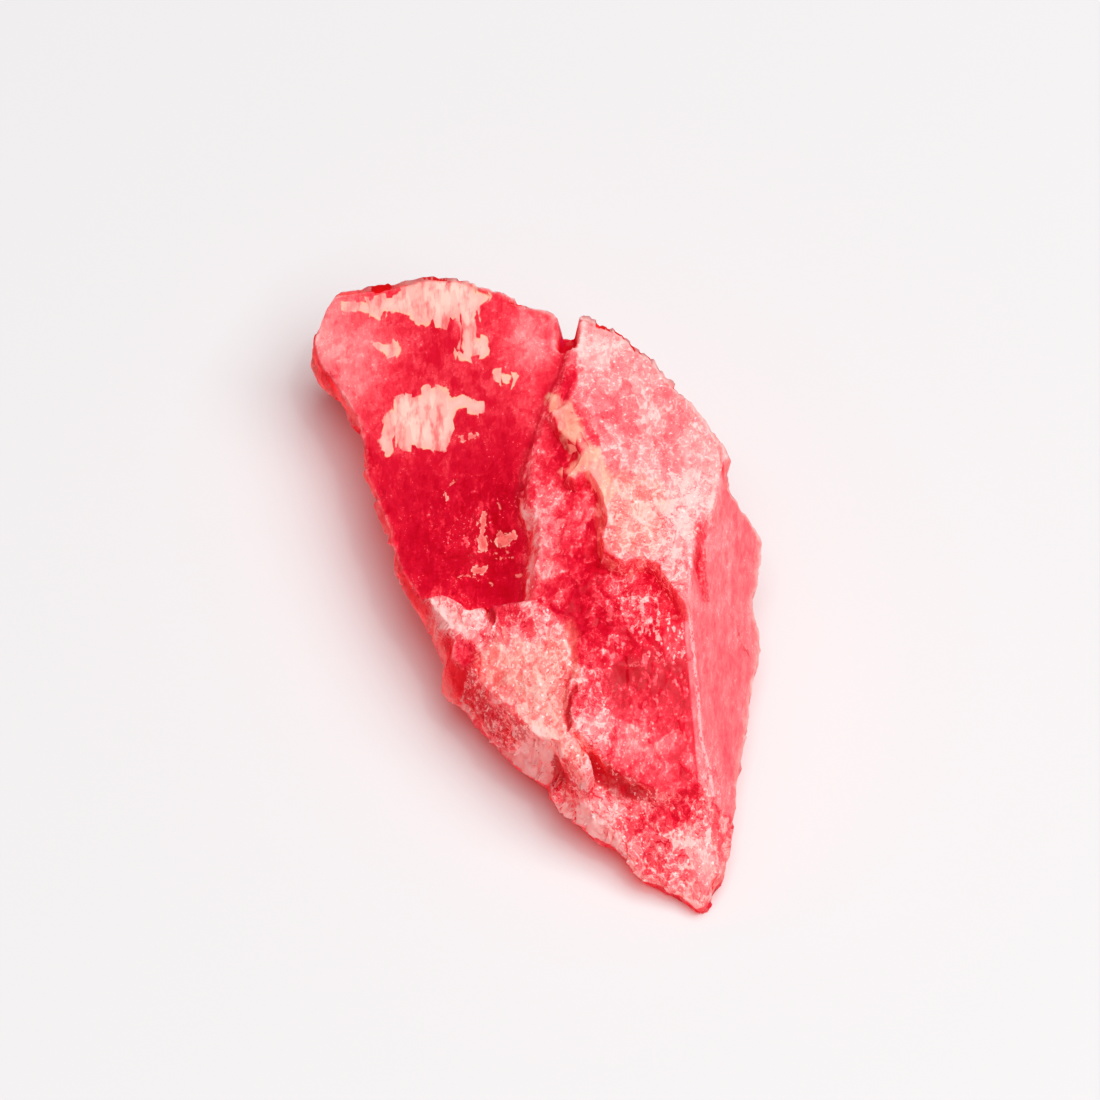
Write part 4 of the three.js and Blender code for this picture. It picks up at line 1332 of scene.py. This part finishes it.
# %% [markdown]
# ## Cracks, fragments, painted shade and the ridge's painted highlight
# These marks are a few tenths of a millimetre wide. Each is a stored distance, shaken by noise so that it
# wavers, and broken up by specks so that it comes and goes. They lie over the minerals, the pale ones first
# and the dark gaps last. The ridge's light line is a painted highlight, and the dark crevices and gaps are
# painted shade.

# %% Small marks in colour
ROW_PINK, CRACK_RED, SCRATCH_PINK = (1.0, 0.30, 0.30), (0.55, 0.01, 0.03), (1.0, 0.36, 0.30)
FRAGMENT_MIDDLE, FRAGMENT_EDGE = (0.95, 0.24, 0.21), (1.0, 0.54, 0.45)
RIDGE_HIGHLIGHT_PINK, CREVICE_SHADE_RED, GAP_SHADE_RED = (1.0, 0.60, 0.60), (0.58, 0.001, 0.016), (0.48, 0.006, 0.018)

waver = shares_of((mottle, 0.30), (speck, 0.25))
row = times(between(plus(mark("rows"), times(waver, 2.0)), 0.10, 0.02), between(speck, -0.08, 0.04))
crack = between(plus(mark("crack"), waver), 0.10, 0.02)
scratch = times(
    between(plus(mark("scratch"), times(mottle, 0.5)), 0.10, 0.03),
    between(plus(crumb_tone, times(speck, 0.8)), -0.10, 0.06))
fragment_depth = plus(mark("fragment"), times(flake_tone, 0.30), times(crumb_tone, 0.18))
fragment = between(fragment_depth, -0.06, 0.0)
fragment_tone = paint(FRAGMENT_MIDDLE, FRAGMENT_EDGE, between(fragment_depth, 0.12, 0.0))
# Painted highlight: a pale line along the ridge's crest.
ridge = times(
    between(plus(mark("ridge"), times(waver, 1.6)), 0.20, 0.05), between(plus(mottle, speck), -0.10, 0.02))
# Painted shade: crevices under the ledges are painted a dark red.
crevice = times(between(plus(mark("dark"), times(ragged, 0.9)), -0.05, 0.10), between(speck, 0.10, -0.02))
# Painted shade: the gaps are painted a darker red over their real depth.
gap = between(plus(mark("gap"), times(speck, 0.25)), -0.06, 0.06)

for tone, share in (
    (ROW_PINK, times(row, 0.6)), (CRACK_RED, times(crack, 0.6)),
    (fragment_tone, times(fragment, plus(0.62, times(crumb_tone, 0.6)))), (SCRATCH_PINK, times(scratch, 0.6)),
    (RIDGE_HIGHLIGHT_PINK, times(ridge, 0.8)), (CREVICE_SHADE_RED, times(crevice, 0.7)), (GAP_SHADE_RED, times(gap, 0.85)),
):
    colour = paint(colour, tone, share)
print("small marks painted; nodes so far:", len(tree.nodes))

# %% [markdown]
# ## Glints
# Tiny cleavage faces throw the lamp straight back as white points. A mirror-like coat alone would show them
# only where the lamp happens to lie, so most are painted as small bright grains, on pale sparkling parts
# only.

# %% Glints
GLINT_WHITE = (1.0, 0.93, 0.90)
GLINTS_PER_MM = 4.6
star = grit(in_mm, per_mm=GLINTS_PER_MM, detail=1, roughness=0.5)
glint = between(plus(star, times(mark("sparkle"), 0.03)), 0.20, 0.25)
glint = times(glint, mark("sparkle"), between(paleness, 0.35, 0.7))
colour = paint(colour, GLINT_WHITE, times(glint, 0.85))
print("glints are grains of about", round(1 / GLINTS_PER_MM, 2), "mm")

# %% [markdown]
# ## Relief too fine for the mesh
# Below a tenth of a millimetre the mesh has no points left, and there the shader leans its normals instead:
# each flake by its own random amount, with a faint bump of streaks and specks. The thin coat leans more
# than the stone, so its few reflections break up into sparks.


# %% Leaning normals
def tilted_by(normal, cell_colour, amount):
    """A normal leaned by each cell's own random amount."""
    lean = add("ShaderNodeVectorMath", {0: cell_colour, 1: (0.5, 0.5, 0.5)}, operation="SUBTRACT").outputs[0]
    leaned = shifted(normal, scaled(lean, amount))
    return add("ShaderNodeVectorMath", {0: leaned}, operation="NORMALIZE").outputs[0]


BUMP_DEPTH = 0.16 * MM
geometry = add("ShaderNodeNewGeometry")
flake_lean = plus(times(mark("sparkle"), 0.55), 0.03)
skin_normal = geometry.outputs["Normal"]
coat_normal = tilted_by(tilted_by(skin_normal, flakes, flake_lean), crumbs, times(flake_lean, 0.8))
stone_normal = tilted_by(skin_normal, flakes, times(mark("sparkle"), 0.22))
bump_height = times(shares_of((streak, 0.45), (speck, 0.40)), plus(0.12, times(mark("sparkle"), 0.5)))
bump = add("ShaderNodeBump", {"Distance": BUMP_DEPTH, "Height": bump_height, "Normal": stone_normal})
roughness = plus(0.30, times(speck, 0.2), times(between(paleness, 0.5, 0.9), 0.12), times(cream_share, 0.10))
print("bump is", round(BUMP_DEPTH / MM, 2), "mm deep at most")

# %% [markdown]
# ## How light goes through the stone
# Light does three things in a translucent stone. Some of it scatters close under the skin, which the
# Principled shader's subsurface does. Some shines through from behind, most of all in thin walls, which a
# Translucent shader mixed in by the "wall" mark does. The rest reaches the table as a red shadow. A true
# volume would do all three at once, but it takes many times as long to come out clean. For the shadow, rays
# that look for a lamp see red glass instead of stone, darker the longer their way through it. Rays that
# meet the skin from inside need no pattern, so they see one plain red glow, which saves much of the
# render's time.

# %% Shaders
GLOW_SHARE, WALL_GLOW = 0.34, 0.42
GLOW_RED, INSIDE_RED = (1.0, 0.10, 0.13), (0.90, 0.10, 0.12, 1.0)
GLASS_IN, GLASS_NEAR, GLASS_FAR = (0.50, 0.035, 0.04), (1.0, 0.24, 0.26), (0.45, 0.008, 0.012)
DARK_AFTER = 7 * MM

stone_shader = add("ShaderNodeBsdfPrincipled", {
    "Base Color": colour, "Roughness": roughness, "Normal": bump.outputs[0],
    "IOR": 1.5, "Specular IOR Level": 0.06, "Subsurface Weight": 0.65, "Subsurface Scale": 0.7 * MM,
    "Subsurface Radius": (1.0, 0.6, 0.65),
    "Coat Weight": 0.12, "Coat Roughness": 0.08, "Coat Normal": coat_normal,
})
glow = add("ShaderNodeBsdfTranslucent", {"Color": paint(colour, GLOW_RED, 0.5)})
from_inside = add("ShaderNodeBsdfTranslucent", {"Color": INSIDE_RED})

light_path = add("ShaderNodeLightPath")
leaving = geometry.outputs["Backfacing"]
far = between(light_path.outputs["Ray Length"], 0.0, DARK_AFTER)
glass_tone = paint(GLASS_IN, paint(GLASS_NEAR, GLASS_FAR, far), leaving)
red_glass = add("ShaderNodeBsdfTransparent", {"Color": glass_tone})


def mixed(share, first, second):
    """Two shaders mixed: the first where the share is 0, the second where it is 1."""
    return add("ShaderNodeMixShader", {0: share, 1: first.outputs[0], 2: second.outputs[0]})


lit_through = mixed(plus(GLOW_SHARE, times(mark("wall"), WALL_GLOW)), stone_shader, glow)
skin_shader = mixed(leaving, lit_through, from_inside)
shown = mixed(light_path.outputs["Is Shadow Ray"], skin_shader, red_glass)
add("ShaderNodeOutputMaterial", {"Surface": shown.outputs[0]})
stone.data.materials.append(material)
print("material has", len(tree.nodes), "nodes")

# %% [markdown]
# ## The table
# The stone lies on plain, nearly white paper without gloss. One flat face is enough for it.

# %% Table
TABLE_REACH = 1.2
PAPER = (0.522, 0.510, 0.514, 1.0)
floor_mesh = bpy.data.meshes.new("table")
corners = [(x * TABLE_REACH, y * TABLE_REACH, 0) for x, y in ((-1, -1), (1, -1), (1, 1), (-1, 1))]
floor_mesh.from_pydata(corners, [], [(0, 1, 2, 3)])
table = bpy.data.objects.new("table", floor_mesh)
bpy.context.scene.collection.objects.link(table)
paper = bpy.data.materials.new("table_sheet")
paper.use_nodes = True
for name, value in (("Base Color", PAPER), ("Roughness", 0.9), ("Specular IOR Level", 0.1)):
    paper.node_tree.nodes["Principled BSDF"].inputs[name].default_value = value
table.data.materials.append(paper)
print("table is", 2 * TABLE_REACH, "m wide")

# %% [markdown]
# ## The light
# One large soft light hangs high beyond the stone's back edge, as a window does. A small one beside it, of
# little power, wakes the glints on the coat. The world is faint, because an even light from all sides would
# wash the shadow out. The paper is darker than white and the light stronger, so that the stone's reds come
# out bright beside it.


# %% Lights
def softbox(name, azimuth, elevation, distance, size, power):
    """A square area light that looks at the stone from a compass angle and a height angle."""
    a, e = math.radians(azimuth), math.radians(elevation)
    back = np.array([math.cos(a) * math.cos(e), math.sin(a) * math.cos(e), math.sin(e)])
    right = np.array([-math.sin(a), math.cos(a), 0.0])
    up = np.cross(back, right)
    lamp = bpy.data.lights.new(name, "AREA")
    lamp.size = size
    lamp.energy = power
    face(bpy.data.objects.new(name, lamp), back * distance, right, up, back)


ROOM_TINT, ROOM_STRENGTH = (1.0, 0.985, 0.985, 1.0), 0.15
softbox("window", azimuth=28, elevation=69, distance=0.9, size=1.02, power=18.5)
softbox("glint_lamp", azimuth=20, elevation=70, distance=0.80, size=0.06, power=0.57)
world = bpy.data.worlds.new("room")
world.use_nodes = True
world.node_tree.nodes["Background"].inputs["Color"].default_value = ROOM_TINT
world.node_tree.nodes["Background"].inputs["Strength"].default_value = ROOM_STRENGTH
bpy.context.scene.world = world
bpy.context.scene.view_settings.view_transform = "Standard"
